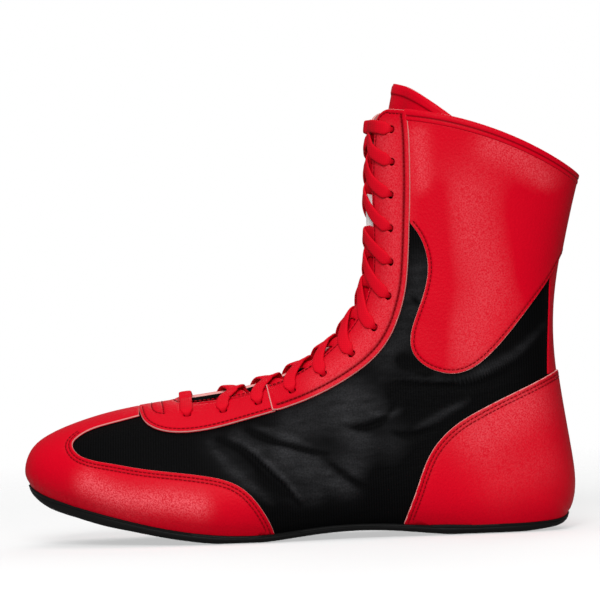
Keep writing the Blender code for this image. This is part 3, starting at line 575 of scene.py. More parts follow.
def place_on_side(points):
    """Stations and distances round from the ridge of side view points, and how far off they are."""
    points = np.array(points, float) + (BOX_SHIFT_X, 0.0)
    nearest = [int(np.argmin(np.sum((LOOKUP - point) ** 2, axis=1))) for point in points]
    station = LOOKUP_STATIONS[np.array(nearest) // len(LOOKUP_AROUNDS)]
    around = LOOKUP_AROUNDS[np.array(nearest) % len(LOOKUP_AROUNDS)]
    angle, side = angle_of(np.stack([station, -around], axis=1))
    for _ in range(14):
        here = at_angle(station, angle, side)[:, [0, 2]]
        by_station = (at_angle(station + NUDGE, angle, side)[:, [0, 2]] - here) / NUDGE
        by_angle = (at_angle(station, angle - NUDGE, side)[:, [0, 2]] - here) / NUDGE
        rates = np.stack([by_station, by_angle], axis=-1)
        normal = np.transpose(rates, (0, 2, 1)) @ rates
        normal += np.eye(2) * (1e-4 * np.trace(normal, axis1=1, axis2=2)[:, None, None])
        right = np.transpose(rates, (0, 2, 1)) @ (points - here)[..., None]
        move = np.linalg.solve(normal, right)[..., 0]
        station = np.clip(station + np.clip(move[:, 0], -0.3, 0.3), 0.0, LAST_STATION)
        angle = np.clip(angle - np.clip(move[:, 1], -0.2, 0.2), 0.0, math.pi)
    around = np.clip(around_of(station, angle), 0.0, 1.0)
    miss = np.linalg.norm(skin(station, around)[:, [0, 2]] - points, axis=1)
    return station, around, miss


def on_skin(points, close=0.25):
    """The stretch of a side view line that lies on the skin, as rows of (station, around)."""
    line = np.array(points, float)
    length = run_along(line)
    fine = np.linspace(0.0, length[-1], int(length[-1] / 0.5) + 2)
    line = np.stack([np.interp(fine, length, line[:, i]) for i in range(2)], axis=1)
    station, around, miss = place_on_side(line)
    kept = miss < close
    return np.stack([station[kept], around[kept]], axis=1)


def joined(*lines):
    """One line from several, without the points that repeat where they meet."""
    every = np.concatenate(lines)
    step = np.linalg.norm(np.diff(laid(every), axis=0), axis=1)
    return every[np.concatenate([[True], step > 1e-3])]


def spaced(line, spacing, closed=False):
    """The same line with its points a set distance apart on the skin. Its ends stay, and it is
    taken in parts where it steps across the back line from one side of the foot to the other."""
    line = np.concatenate([line, line[:1]]) if closed else line
    steps_over = np.flatnonzero(np.abs(np.diff(line[:, 1])) > 1.0) + 1
    parts = []
    for part in np.split(line, steps_over):
        if len(part) < 2:
            continue
        length = run_along(laid(part))
        places = np.linspace(0.0, length[-1], max(int(round(length[-1] / spacing)), 2) + 1)
        station = np.interp(places, length, part[:, 0])
        swing = np.interp(places, length, part[:, 1] * (math.pi - base_angle(section_at(part[:, 0]))))
        around = np.clip(swing / (math.pi - base_angle(section_at(station))), -1.0, 1.0)
        on_base = np.interp(places, length, (np.abs(part[:, 1]) > 0.9999).astype(float)) > 0.999
        parts.append(np.stack([station, np.where(on_base, np.sign(around), around)], axis=1))
    every = joined(*parts)
    ends = laid(every[[0, -1]])
    return every[:-1] if closed and np.linalg.norm(ends[0] - ends[1]) < 1e-3 else every


def closed_loop(half):
    """A panel's outline from its outer half."""
    return joined(half, mirrored(half))[:-1]


def both_sides(rows):
    """Rows of the outer side, and the same on the inner side."""
    return rows + [row * (1.0, -1.0) for row in rows]


def mirrored(line):
    """The same line on the other side of the foot, run backwards."""
    return line[::-1] * (1.0, -1.0)


# Flat patterns. A panel is drawn flat, filled with triangles and laid on the skin.

PATTERN_STATIONS = np.linspace(0.0, LAST_STATION, 400)
PATTERN_LENGTHS = run_along(skin(PATTERN_STATIONS, -0.5))
PATTERN_GIRTHS = np.sum(np.linalg.norm(np.diff(
    skin(PATTERN_STATIONS[:, None], np.linspace(-1, 0, 40)[None, :]), axis=1), axis=-1), axis=1)


def flat(line, over_back):
    """Pattern points of (station, around) rows. over_back puts the back line in the middle."""
    station, around = line[:, 0], line[:, 1]
    girth = np.interp(station, PATTERN_STATIONS, PATTERN_GIRTHS)
    across = around * girth
    if over_back:
        feather = section_at(station)["feather"]
        across = np.where(around < 0, -1.0, 1.0) * (feather + (1 - np.abs(around)) * girth)
    return np.stack([np.interp(station, PATTERN_STATIONS, PATTERN_LENGTHS), across], axis=1)


def within(polygon, points):
    """Which points lie inside a closed polygon."""
    found = np.zeros(len(points), bool)
    x, y = points[:, 0], points[:, 1]
    for (ax, ay), (bx, by) in zip(np.roll(polygon, 1, axis=0), polygon):
        if ay == by:
            continue
        crosses = (ay > y) != (by > y)
        found ^= crosses & (x < ax + (y - ay) * (bx - ax) / (by - ay))
    return found


def distance_to(points, path, closed=False):
    """Distance of each point from a line in space."""
    path = np.concatenate([path, path[:1]]) if closed else path
    best = np.full(len(points), np.inf)
    for start, end in zip(path, path[1:]):
        way = end - start
        square = max(float(way @ way), 1e-12)
        share = np.clip(((points - start) @ way) / square, 0, 1)
        gap = points - start - share[:, None] * way
        best = np.minimum(best, np.einsum("ij,ij->i", gap, gap))
    return np.sqrt(best)


def stepped(line, moves):
    """(station, around) rows moved by small steps in space."""
    station = np.clip(line[:, 0], NUDGE, LAST_STATION)
    angle, side = angle_of(np.stack([station, line[:, 1]], axis=1))
    moved = at_angle(station + NUDGE, angle, side) - at_angle(station - NUDGE, angle, side)
    turned = at_angle(station, angle + NUDGE, side) - at_angle(station, angle - NUDGE, side)
    by_station, by_angle = moved / (2 * NUDGE), turned / (2 * NUDGE)
    rates = np.stack([by_station, by_angle], axis=-1)
    flipped = np.transpose(rates, (0, 2, 1))
    normal = flipped @ rates
    normal += np.eye(2) * (1e-6 * np.trace(normal, axis1=1, axis2=2)[:, None, None] + 1e-9)
    steps = np.linalg.solve(normal, flipped @ moves[..., None])[..., 0]
    station = np.clip(station + steps[:, 0], 0.0, LAST_STATION)
    return np.stack([station, side * around_of(station, angle + steps[:, 1])], axis=1)


def sideways(line, closed=False):
    """Unit directions on the skin, square to the line."""
    places = laid(line)
    if closed:
        ways = np.roll(places, -1, axis=0) - np.roll(places, 1, axis=0)
    else:
        ways = np.gradient(places, axis=0)
    square = np.cross(outward(line[:, 0], line[:, 1]), ways)
    return square / np.maximum(np.linalg.norm(square, axis=1, keepdims=True), 1e-9)


def ring_of(station, around, radius, count):
    """A ring of (station, around) rows round a point of the skin."""
    turn = np.linspace(0, 2 * math.pi, count, endpoint=False)
    centre = np.tile([[station, around]], (count, 1))
    first = skin(station + 0.01, around) - skin(station - 0.01, around)
    first = first / np.linalg.norm(first)
    second = np.cross(outward(centre[:, 0], centre[:, 1]), first)
    moves = radius * (np.cos(turn)[:, None] * first + np.sin(turn)[:, None] * second)
    return stepped(centre, moves)


# Making pieces

def welded(points, faces):
    """Faces whose corners that share a place share a number. Those left with no area are dropped."""
    places = np.round(np.asarray(points) / WELD).astype(np.int64)
    _, first, number = np.unique(places, axis=0, return_index=True, return_inverse=True)
    same = first[number.reshape(-1)].tolist()
    every = [tuple(dict.fromkeys(same[corner] for corner in face)) for face in faces]
    return [face for face in every if len(face) > 2]


def new_piece(name, points, faces, finish, nodes, attributes=None, sharp=50.0):
    """A finished piece from points in millimetres: facing out, shaded and riding on the shoe."""
    faces = welded(points, faces)
    mesh = bpy.data.meshes.new(name)
    mesh.from_pydata((np.asarray(points) * MM).tolist(), [], [list(map(int, face)) for face in faces])
    for title, values in (attributes or {}).items():
        made = mesh.attributes.new(title, "FLOAT", "POINT")
        made.data.foreach_set("value", np.asarray(values, np.float32))
    mesh.materials.append(finish)
    item = bpy.data.objects.new(name, mesh)
    bpy.context.scene.collection.objects.link(item)
    bpy.ops.object.select_all(action="DESELECT")
    item.select_set(True)
    bpy.context.view_layer.objects.active = item
    bpy.ops.object.mode_set(mode="EDIT")
    bpy.ops.mesh.select_all(action="SELECT")
    bpy.ops.mesh.delete_loose(use_verts=True, use_edges=False, use_faces=False)
    bpy.ops.mesh.remove_doubles(threshold=1e-6)
    bpy.ops.mesh.normals_make_consistent(inside=False)
    bpy.ops.object.mode_set(mode="OBJECT")
    bpy.ops.object.shade_smooth_by_angle(angle=math.radians(sharp))
    return seated(item, nodes)


def seated(item, nodes):
    """Makes a piece ride on the shoe and stand for its solids."""
    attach(item, "root")
    if nodes:
        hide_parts(*nodes)
    return item


def grid_faces(rows, columns, keep=None, first=0):
    """Four-sided faces of a grid whose points are numbered row by row."""
    faces = []
    for i in range(rows - 1):
        for j in range(columns - 1):
            if keep is None or keep[i, j]:
                a = first + i * columns + j
                faces.append((a, a + columns, a + columns + 1, a + 1))
    return faces


def tube_faces(rows, columns, first=0):
    """Faces of a tube of closed rings, with a cap at each end."""
    faces = grid_faces(rows, columns, None, first)
    faces.append(tuple(range(first, first + columns - 1)))
    faces.append(tuple(range(first + (rows - 1) * columns, first + rows * columns - 1))[::-1])
    return faces


def walls_between(faces, shift):
    """Side walls along the free edges of a sheet whose inner copy is numbered shift further on."""
    uses = {}
    for face in faces:
        for a, b in zip(face, face[1:] + face[:1]):
            uses.setdefault(frozenset((a, b)), []).append((a, b))
    free = [pairs[0] for pairs in uses.values() if len(pairs) == 1]
    return [(b, a, a + shift, b + shift) for a, b in free]


def thick_piece(name, outer, inner, faces, finish, nodes, attributes=None):
    """A sheet with its inner face and its side walls."""
    count = len(outer)
    faces = welded(outer, faces)
    backs = [tuple(corner + count for corner in reversed(face)) for face in faces]
    every = faces + backs + walls_between(faces, count)
    doubled = {title: np.concatenate(pair) for title, pair in (attributes or {}).items()}
    return new_piece(name, np.concatenate([outer, inner]), every, finish, nodes, doubled)


def filled(loop, holes, over_back, lines=()):
    """Points and triangles that fill an outline, close together along its edges."""
    outline = flat(loop, over_back)
    border = laid(loop)
    square = sideways(loop, True)
    inner = within(outline, flat(stepped(loop, square * 0.2), over_back))
    inward = square if np.mean(inner) > 0.5 else -square
    rims = [ring_of(station, around, radius, HOLE_POINTS) for station, around, radius in holes]
    fixed = [loop] + rims
    extra = []
    for distance in EDGE_RINGS:
        moved = stepped(loop, inward * distance)
        moved[:, 0] = np.clip(moved[:, 0], 0.0, LAST_STATION)
        moved[:, 1] = np.clip(moved[:, 1], -1.0, 1.0)
        places = laid(moved)
        good = within(outline, flat(moved, over_back))
        good &= distance_to(places, border, True) > 0.88 * distance
        extra.append(moved[good][:: 1 if distance < 3 else 2])
    for station, around, radius in holes:
        for wider in (0.35, 0.8, 1.6):
            extra.append(ring_of(station, around, radius + wider, HOLE_POINTS))
    for line in lines:
        line = spaced(line, 0.9)
        for sideway in (0.0, 0.5, -0.5, 1.1, -1.1):
            moved = stepped(line, sideways(line) * sideway)
            moved = moved[within(outline, flat(moved, over_back))]
            extra.append(moved[distance_to(laid(moved), border, True) > 0.5])
    extra.append(lattice_in(outline, border, over_back))
    extra = clear_of_holes(np.concatenate(extra), holes)
    extra = thinned(extra, over_back)
    return triangles_in(fixed, extra, over_back)


def lattice_in(outline, border, over_back):
    """Evenly spaced rows well inside an outline."""
    low, high = outline[:, 0].min(), outline[:, 0].max()
    stations = np.interp(np.arange(low, high, LATTICE), PATTERN_LENGTHS, PATTERN_STATIONS)
    rows = []
    for number, station in enumerate(stations):
        girth = np.interp(station, PATTERN_STATIONS, PATTERN_GIRTHS)
        count = max(int(girth / LATTICE), 2)
        share = (np.arange(-count, count + 1) + 0.5 * (number % 2)) / count
        share = share[np.abs(share) < 1]
        rows.append(np.stack([np.full_like(share, station), share], axis=1))
    rows = np.concatenate(rows)
    rows = rows[within(outline, flat(rows, over_back))]
    return rows[distance_to(laid(rows), border, True) > EDGE_RINGS[-1] + 1.2]


def clear_of_holes(rows, holes):
    """Rows that lie outside every hole."""
    places = laid(rows)
    kept = np.ones(len(rows), bool)
    for station, around, radius in holes:
        centre = skin(station, around)
        kept &= np.linalg.norm(places - centre, axis=1) > radius + 0.2
    return rows[kept]


def thinned(rows, over_back):
    """Leaves out points that all but coincide with an earlier one."""
    cells = np.floor(flat(rows, over_back) / 0.22).astype(int)
    _, first = np.unique(cells, axis=0, return_index=True)
    return rows[np.sort(first)]


def triangles_in(loops, extra, over_back):
    """Triangles between the first loop and the others, which are holes, through every point."""
    rows = np.concatenate(loops + [extra])
    edges = []
    start = 0
    for loop in loops:
        count = len(loop)
        edges += [(start + i, start + (i + 1) % count) for i in range(count)]
        start += count
    pattern = flat(rows, over_back)
    made = geometry.delaunay_2d_cdt([Vector(point) for point in pattern], edges, [], 0, 1e-6)
    places, faces, origins = made[0], made[2], made[3]
    source = []
    for place, origin in zip(places, origins):
        if origin:
            source.append(origin[0])
        else:
            source.append(int(np.argmin(np.sum((pattern - np.array(place)) ** 2, axis=1))))
    faces = np.array([[source[corner] for corner in face] for face in faces])
    middles = pattern[faces].mean(axis=1)
    kept = within(flat(loops[0], over_back), middles)
    for hole in loops[1:]:
        kept &= ~within(flat(hole, over_back), middles)
    kept &= (faces[:, 0] != faces[:, 1]) & (faces[:, 1] != faces[:, 2]) & (faces[:, 0] != faces[:, 2])
    return rows, faces[kept]


def gape(station, around):
    """How far the throat stands open: the lace pulls its inner edge up and presses its outer
    edge down."""
    edge = throat_around(station)
    near = ramp(edge + 0.32 - np.abs(around), 0.0, 0.30) * ramp(np.abs(around), 0.0, 0.5 * edge)
    rise = np.interp(station, *zip(*FAR_EDGE_RISE))
    dip = np.interp(station, *zip(*NEAR_EDGE_DIP))
    return near * np.where(around > 0, rise, -dip)


def to_cut_edge(loop, places):
    """Distance of each place from a panel's cut edges, without its edge along the sole."""
    free = loop[(np.abs(loop[:, 1]) < 0.999) | (loop[:, 0] > HEEL_CLOSED)]
    edge_tree = kdtree.KDTree(len(free))
    for number, place in enumerate(laid(free)):
        edge_tree.insert(place, number)
    edge_tree.balance()
    return np.array([edge_tree.find(place)[2] for place in places])


def leather_panel(name, loop, finish, out_level, stitch_rows=(), holes=(), over_back=False, lapped=None,
                  pale=1.0, deep_rows=()):
    """A leather panel with rounded raw edges, punched holes and grooves for its stitches."""
    loop = spaced(loop, PANEL_SPACING, True)
    rows, faces = filled(loop, holes, over_back, list(stitch_rows) + list(deep_rows))
    places = laid(rows)
    from_edge = distance_to(places, laid(loop), True)
    for station, around, radius in holes:
        gap = np.linalg.norm(places - skin(station, around), axis=1) - radius
        from_edge = np.minimum(from_edge, np.maximum(gap, 0.0))
    dip = np.clip(1 - from_edge / EDGE_ROUND, 0, 1)
    level = out_level - EDGE_ROUND * (1 - np.sqrt(1 - dip**2))
    # Painted shade: the leather is drawn darker along each seam's groove, most along the deep rows.
    seam_line_and_shade = np.zeros(len(rows))
    grooves = [(line, GROOVE_DEPTH, GROOVE_WIDTH, GROOVE_SHADE) for line in stitch_rows]
    grooves += [(line, 2 * GROOVE_DEPTH, 1.6 * GROOVE_WIDTH, 1.0) for line in deep_rows]
    for line, depth, width, shade in grooves:
        gap = distance_to(places, laid(line))
        level = level - depth * np.exp(-(gap / width) ** 2)
        seam_line_and_shade = np.maximum(seam_line_and_shade, shade * np.exp(-(gap / (0.9 * width)) ** 2))
    rise = gape(rows[:, 0], rows[:, 1])
    bared = np.zeros(len(rows))
    if lapped is not None:
        gap = distance_to(places, laid(lapped))
        rise = rise + LAP_RISE * np.exp(-(gap / LAP_WIDTH) ** 2)
        bared = np.clip(1.2 - gap / BARED_WIDTH, 0, 1)
    outer = surface(rows[:, 0], rows[:, 1], level + rise)
    inner = surface(rows[:, 0], rows[:, 1], OVERLAY_IN + rise)
    # Painted sheen: the leather is drawn paler in the listed patches, standing for highlights.
    sheened = np.clip(amount_at(places, PAINTED_LEATHER_SHEEN), 0, 1)
    raw = pale * np.maximum(np.clip(1 - to_cut_edge(loop, places) / RAW_EDGE_WIDTH, 0, 1), bared)
    open_edge = np.abs(rows[:, 1]) < throat_around(rows[:, 0]) + 0.05
    # Painted shade: the leather is drawn a deeper red towards the sole.
    height = (1 - np.abs(rows[:, 1])) * np.interp(rows[:, 0], PATTERN_STATIONS, PATTERN_GIRTHS)
    painted_low_shade = np.exp(-(height / PAINTED_SHADE_HEIGHT) ** 2) * ramp(HEEL_CLOSED - rows[:, 0], 0.0, 0.3)
    raw_inside = pale * np.where(open_edge & (rows[:, 0] > THROAT_START - 0.1), 1.0, 0.0)
    return thick_piece(name + "_leather", outer, inner, faces, finish, [name],
                       {"raw_edge": (raw, raw_inside), "painted_sheen": (sheened, np.zeros_like(sheened)),
                        "seam_line_and_shade": (seam_line_and_shade, np.zeros_like(seam_line_and_shade)), "painted_low_shade": (painted_low_shade, painted_low_shade)})


# Materials

def srgb(code):
    """Linear colour of an sRGB hex code."""
    parts = [int(code[i:i + 2], 16) / 255 for i in (1, 3, 5)]
    return tuple(part / 12.92 if part <= 0.04045 else ((part + 0.055) / 1.055) ** 2.4 for part in parts)


def add_node(tree, kind, inputs=None, **settings):
    """Adds a node. settings are its own options, and inputs are values or sockets to link."""
    made = tree.nodes.new(kind)
    for name, value in settings.items():
        setattr(made, name, value)
    for name, value in (inputs or {}).items():
        if isinstance(value, bpy.types.NodeSocket):
            tree.links.new(value, made.inputs[name])
        else:
            made.inputs[name].default_value = value
    return made


def blank_material(name, **constants):
    """A material with its shader, the shader's constants and Object coordinates."""
    material = bpy.data.materials.new(name)
    material.use_nodes = True
    tree = material.node_tree
    shader = tree.nodes["Principled BSDF"]
    for title, value in constants.items():
        shader.inputs[title.replace("_", " ")].default_value = value
    place = add_node(tree, "ShaderNodeTexCoord")
    return material, tree, shader, place


def opaque(colour):
    """A colour with full alpha."""
    return (*colour, 1.0)


def red_leather_material(colours):
    """Smooth dyed leather with a fine pebble grain. A broad soft sheen is painted in as a paler red in
    patches, broken up by the grain; the dye is a little uneven; shade is painted in as a deeper red
    towards the sole and a dark red along the seams; and the cut edge shows the pale fibre inside."""
    material, tree, shader, place = blank_material("red_grained_leather", Specular_IOR_Level=0.04)
    where = place.outputs["Object"]
    pebble = add_node(tree, "ShaderNodeTexVoronoi", {
        "Vector": where, "Scale": 1 / (1.25 * MM), "Smoothness": 0.6}, feature="SMOOTH_F1")
    pores = add_node(tree, "ShaderNodeTexNoise", {
        "Vector": where, "Scale": 1 / (0.7 * MM), "Detail": 2.0, "Roughness": 0.5})
    broad = add_node(tree, "ShaderNodeTexNoise", {
        "Vector": where, "Scale": 1 / (60 * MM), "Detail": 2.0, "Roughness": 0.5})
    dye = add_node(tree, "ShaderNodeMix", {
        FACTOR: broad.outputs["Fac"], UNDER: opaque(colours.leather_shade),
        OVER: opaque(colours.leather)}, data_type="RGBA")
    # Painted sheen: a paler red in the listed patches, speckled by the pores, stands for highlights.
    painted_sheen = add_node(tree, "ShaderNodeAttribute", attribute_name="painted_sheen")
    speckle = add_node(tree, "ShaderNodeMapRange", {
        "Value": pores.outputs["Fac"], "From Min": 0.36, "From Max": 0.64, "To Min": 0.3, "To Max": 1.75})
    sheened = add_node(tree, "ShaderNodeMath", {
        0: painted_sheen.outputs["Fac"], 1: speckle.outputs["Result"]}, operation="MULTIPLY")
    # Painted shade: a deeper red towards the sole.
    painted_low_shade = add_node(tree, "ShaderNodeAttribute", attribute_name="painted_low_shade")
    low_shaded = add_node(tree, "ShaderNodeMix", {
        FACTOR: painted_low_shade.outputs["Fac"], UNDER: dye.outputs[MIXED],
        OVER: opaque(colours.leather_low_shade)}, data_type="RGBA")
    sheen_mixed = add_node(tree, "ShaderNodeMix", {
        FACTOR: sheened.outputs["Value"], UNDER: low_shaded.outputs[MIXED],
        OVER: opaque(colours.leather_sheen)}, data_type="RGBA")
    raw = add_node(tree, "ShaderNodeAttribute", attribute_name="raw_edge")
    # Painted shade along the seams: a dark red in their grooves and lines.
    seam_line_and_shade = add_node(tree, "ShaderNodeAttribute", attribute_name="seam_line_and_shade")
    shaded = add_node(tree, "ShaderNodeMix", {
        FACTOR: seam_line_and_shade.outputs["Fac"], UNDER: sheen_mixed.outputs[MIXED],
        OVER: opaque(colours.groove_shade_and_thread_dark)}, data_type="RGBA")
    cut = add_node(tree, "ShaderNodeMapRange", {
        "Value": raw.outputs["Fac"], "From Min": 0.35, "From Max": 0.8, "To Min": 0.0, "To Max": 0.75})
    face = add_node(tree, "ShaderNodeMix", {
        FACTOR: cut.outputs["Result"], UNDER: shaded.outputs[MIXED],
        OVER: opaque(colours.raw_edge)}, data_type="RGBA")
    gloss = add_node(tree, "ShaderNodeMapRange", {
        "Value": pores.outputs["Fac"], "From Min": 0.3, "From Max": 0.7, "To Min": 0.38, "To Max": 0.52})
    grain = add_node(tree, "ShaderNodeBump", {
        "Height": pebble.outputs["Distance"], "Strength": 0.30, "Distance": 0.35 * MM})
    fine = add_node(tree, "ShaderNodeBump", {
        "Height": pores.outputs["Fac"], "Strength": 0.25, "Distance": 0.2 * MM,
        "Normal": grain.outputs["Normal"]})
    tree.links.new(face.outputs[MIXED], shader.inputs["Base Color"])
    tree.links.new(gloss.outputs["Result"], shader.inputs["Roughness"])
    tree.links.new(fine.outputs["Normal"], shader.inputs["Normal"])
    return material


def black_fabric_material(colours, name="black_ribbed_nylon", pitch=1.3):
    """Tight black nylon with fine upright ribs, drawn at 1.3 mm where the real ones are finer than a
    pixel. A faint grey sheen is painted along the creases and in patches, broken up by slanted streaks."""
    material, tree, shader, place = blank_material(name, Specular_IOR_Level=0.03)
    where = place.outputs["Object"]
    ribs = add_node(tree, "ShaderNodeTexWave", {
        "Vector": where, "Scale": 0.314 / (pitch * MM), "Distortion": 0.6, "Detail": 2.0,
        "Detail Scale": 0.6}, bands_direction="X")
    threads = add_node(tree, "ShaderNodeTexNoise", {
        "Vector": where, "Scale": 1 / (0.8 * MM), "Detail": 2.0, "Roughness": 0.6})
    tone = add_node(tree, "ShaderNodeMix", {
        FACTOR: ribs.outputs["Fac"], UNDER: opaque(colours.fabric_shade),
        OVER: opaque(colours.fabric)}, data_type="RGBA")
    # Painted sheen: grey in the listed patches and on the creases' ridges, broken up by slanted streaks and
    # speckled threads, stands for light on the folds.
    painted_sheen = add_node(tree, "ShaderNodeAttribute", attribute_name="painted_sheen")
    speckle = add_node(tree, "ShaderNodeMapRange", {
        "Value": threads.outputs["Fac"], "From Min": 0.3, "From Max": 0.7, "To Min": 0.5, "To Max": 1.4})
    slant = add_node(tree, "ShaderNodeMapping", {
        "Vector": where, "Rotation": (0.0, math.radians(-32), 0.0), "Scale": (0.3, 1.0, 1.0)})
    wrinkles = add_node(tree, "ShaderNodeTexNoise", {
        "Vector": slant.outputs["Vector"], "Scale": 1 / (5 * MM), "Detail": 3.0, "Roughness": 0.6})
    streaks = add_node(tree, "ShaderNodeMapRange", {
        "Value": wrinkles.outputs["Fac"], "From Min": 0.3, "From Max": 0.7, "To Min": 0.55, "To Max": 1.4})
    patch = add_node(tree, "ShaderNodeMath", {
        0: painted_sheen.outputs["Fac"], 1: streaks.outputs["Result"]}, operation="MULTIPLY")
    lit = add_node(tree, "ShaderNodeMath", {
        0: patch.outputs["Value"], 1: speckle.outputs["Result"]}, operation="MULTIPLY")
    sheen_mixed = add_node(tree, "ShaderNodeMix", {
        FACTOR: lit.outputs["Value"], UNDER: tone.outputs[MIXED],
        OVER: opaque(colours.fabric_sheen)}, data_type="RGBA")
    gloss = add_node(tree, "ShaderNodeMapRange", {
        "Value": threads.outputs["Fac"], "From Min": 0.3, "From Max": 0.7, "To Min": 0.55, "To Max": 0.75})
    rib_bump = add_node(tree, "ShaderNodeBump", {
        "Height": ribs.outputs["Fac"], "Strength": 0.2, "Distance": 0.25 * MM})
    thread_bump = add_node(tree, "ShaderNodeBump", {
        "Height": threads.outputs["Fac"], "Strength": 0.3, "Distance": 0.2 * MM,
        "Normal": rib_bump.outputs["Normal"]})
    wrinkle_bump = add_node(tree, "ShaderNodeBump", {
        "Height": wrinkles.outputs["Fac"], "Strength": 0.5, "Distance": 1.2 * MM,
        "Normal": thread_bump.outputs["Normal"]})
    tree.links.new(sheen_mixed.outputs[MIXED], shader.inputs["Base Color"])
    tree.links.new(gloss.outputs["Result"], shader.inputs["Roughness"])
    tree.links.new(wrinkle_bump.outputs["Normal"], shader.inputs["Normal"])
    return material


def woven_material(name, light, dark, pitch, roughness, sheen):
    """Plain woven threads: two crossed sets of ribs, with a soft thread-like sheen."""
    material, tree, shader, place = blank_material(
        name, Specular_IOR_Level=0.06, Sheen_Weight=sheen, Sheen_Roughness=0.5)
    where = place.outputs["Object"]
    sets = [add_node(tree, "ShaderNodeTexWave", {
        "Vector": where, "Scale": 0.314 / (pitch * MM), "Distortion": 0.8, "Detail": 1.0,
        "Detail Scale": 1.0}, bands_direction=way) for way in ("X", "Z")]
    weave = add_node(tree, "ShaderNodeMath", {
        0: sets[0].outputs["Fac"], 1: sets[1].outputs["Fac"]}, operation="MULTIPLY")
    fuzz = add_node(tree, "ShaderNodeTexNoise", {
        "Vector": where, "Scale": 1 / (1.5 * MM), "Detail": 3.0, "Roughness": 0.6})
    tone = add_node(tree, "ShaderNodeMix", {
        FACTOR: weave.outputs["Value"], UNDER: opaque(dark),
        OVER: opaque(light)}, data_type="RGBA")
    gloss = add_node(tree, "ShaderNodeMapRange", {
        "Value": fuzz.outputs["Fac"], "From Min": 0.3, "From Max": 0.7,
        "To Min": roughness - 0.08, "To Max": roughness + 0.08})
    bump = add_node(tree, "ShaderNodeBump", {
        "Height": weave.outputs["Value"], "Strength": 0.2, "Distance": 0.2 * MM})
    tree.links.new(tone.outputs[MIXED], shader.inputs["Base Color"])
    tree.links.new(gloss.outputs["Result"], shader.inputs["Roughness"])
    tree.links.new(bump.outputs["Normal"], shader.inputs["Normal"])
    return material


def rubber_material(colours):
    """Matt black rubber with a fine moulded texture and dusty wear in broad random patches."""
    material, tree, shader, place = blank_material("black_moulded_rubber", Specular_IOR_Level=0.14)
    where = place.outputs["Object"]
    mould = add_node(tree, "ShaderNodeTexNoise", {
        "Vector": where, "Scale": 1 / (0.9 * MM), "Detail": 3.0, "Roughness": 0.6})
    dust = add_node(tree, "ShaderNodeTexNoise", {
        "Vector": where, "Scale": 1 / (25 * MM), "Detail": 3.0, "Roughness": 0.6})
    tone = add_node(tree, "ShaderNodeMix", {
        FACTOR: dust.outputs["Fac"], UNDER: opaque(colours.rubber),
        OVER: opaque(colours.rubber_dust)}, data_type="RGBA")
    gloss = add_node(tree, "ShaderNodeMapRange", {
        "Value": mould.outputs["Fac"], "From Min": 0.3, "From Max": 0.7, "To Min": 0.5, "To Max": 0.68})
    bump = add_node(tree, "ShaderNodeBump", {
        "Height": mould.outputs["Fac"], "Strength": 0.3, "Distance": 0.2 * MM})
    tree.links.new(tone.outputs[MIXED], shader.inputs["Base Color"])
    tree.links.new(gloss.outputs["Result"], shader.inputs["Roughness"])
    tree.links.new(bump.outputs["Normal"], shader.inputs["Normal"])
    return material


# Outsole, footbed and fabric upper

def sole_loop(stations, side, tuck):
    """Points of the sole's outline, tucked in along the outline's own normal."""
    return skin(stations, side) - outward(stations, side) * np.asarray(tuck)[..., None]


def sole_stations(spacing, last=HEEL_CLOSED):
    """Stations an even distance apart along the sole's edge, closer at the toe tip."""
    fine = np.linspace(0.0, last, 900)
    length = run_along(skin(fine, -1.0))
    return np.interp(np.linspace(0, length[-1], int(length[-1] / spacing)), length, fine)


def make_outsole(finish):
    """The rubber outsole: a rounded edge, and small shallow studs moulded under it."""
    stations = sole_stations(2.2)
    section = section_at(stations)
    top_z = section["base_z"] - SEAT_GAP
    tread_z = section["tread_z"] - np.interp(skin(stations, -1.0)[:, 0], *zip(*TOE_DEPTHS))
    tread_z = np.maximum(tread_z, 0.0)
    deep = np.maximum(top_z - tread_z, 0.6)
    turn = np.linspace(0, math.pi / 2, 6)
    edge = [(top_z, np.full_like(top_z, 0.5)), (top_z - 0.15 * deep, np.zeros_like(top_z))]
    for angle in turn:
        drop = 0.35 * deep + 0.65 * deep * math.sin(angle)
        edge.append((top_z - drop, np.full_like(top_z, 2 * SOLE_EDGE_TUCK * (1 - math.cos(angle)))))
    sides = []
    for side in (-1.0, 1.0):
        lines = []
        for height, tuck in edge:
            line = sole_loop(stations, side, tuck)
            line[:, 2] = height
            lines.append(line)
        sides.append(lines)
    across = np.linspace(0, 1, 41)
    top = [sides[0][0] + (sides[1][0] - sides[0][0]) * share for share in across[::4]]
    tread = [sides[1][-1] + (sides[0][-1] - sides[1][-1]) * share for share in across]
    for share, line in zip(across, tread):
        waves = np.cos(line[:, :2] * 2 * math.pi / STUD_PITCH)
        studs = waves[:, 0] * waves[:, 1]
        inside = ramp(0.5 - abs(share - 0.5), 0.03, 0.08)
        line[:, 2] += STUD_DEPTH * inside * ramp(-studs, 0.0, 0.4)
    ring = top + sides[1][1:-1] + tread + sides[0][-2:0:-1]
    grid = np.stack(ring + ring[:1], axis=1)
    rows, columns, _ = grid.shape
    rim, rim_faces = sole_rim(rows * columns)
    return new_piece("sole_rubber", np.concatenate([grid.reshape(-1, 3), rim]),
                     grid_faces(rows, columns) + rim_faces, finish, ["outsole"])


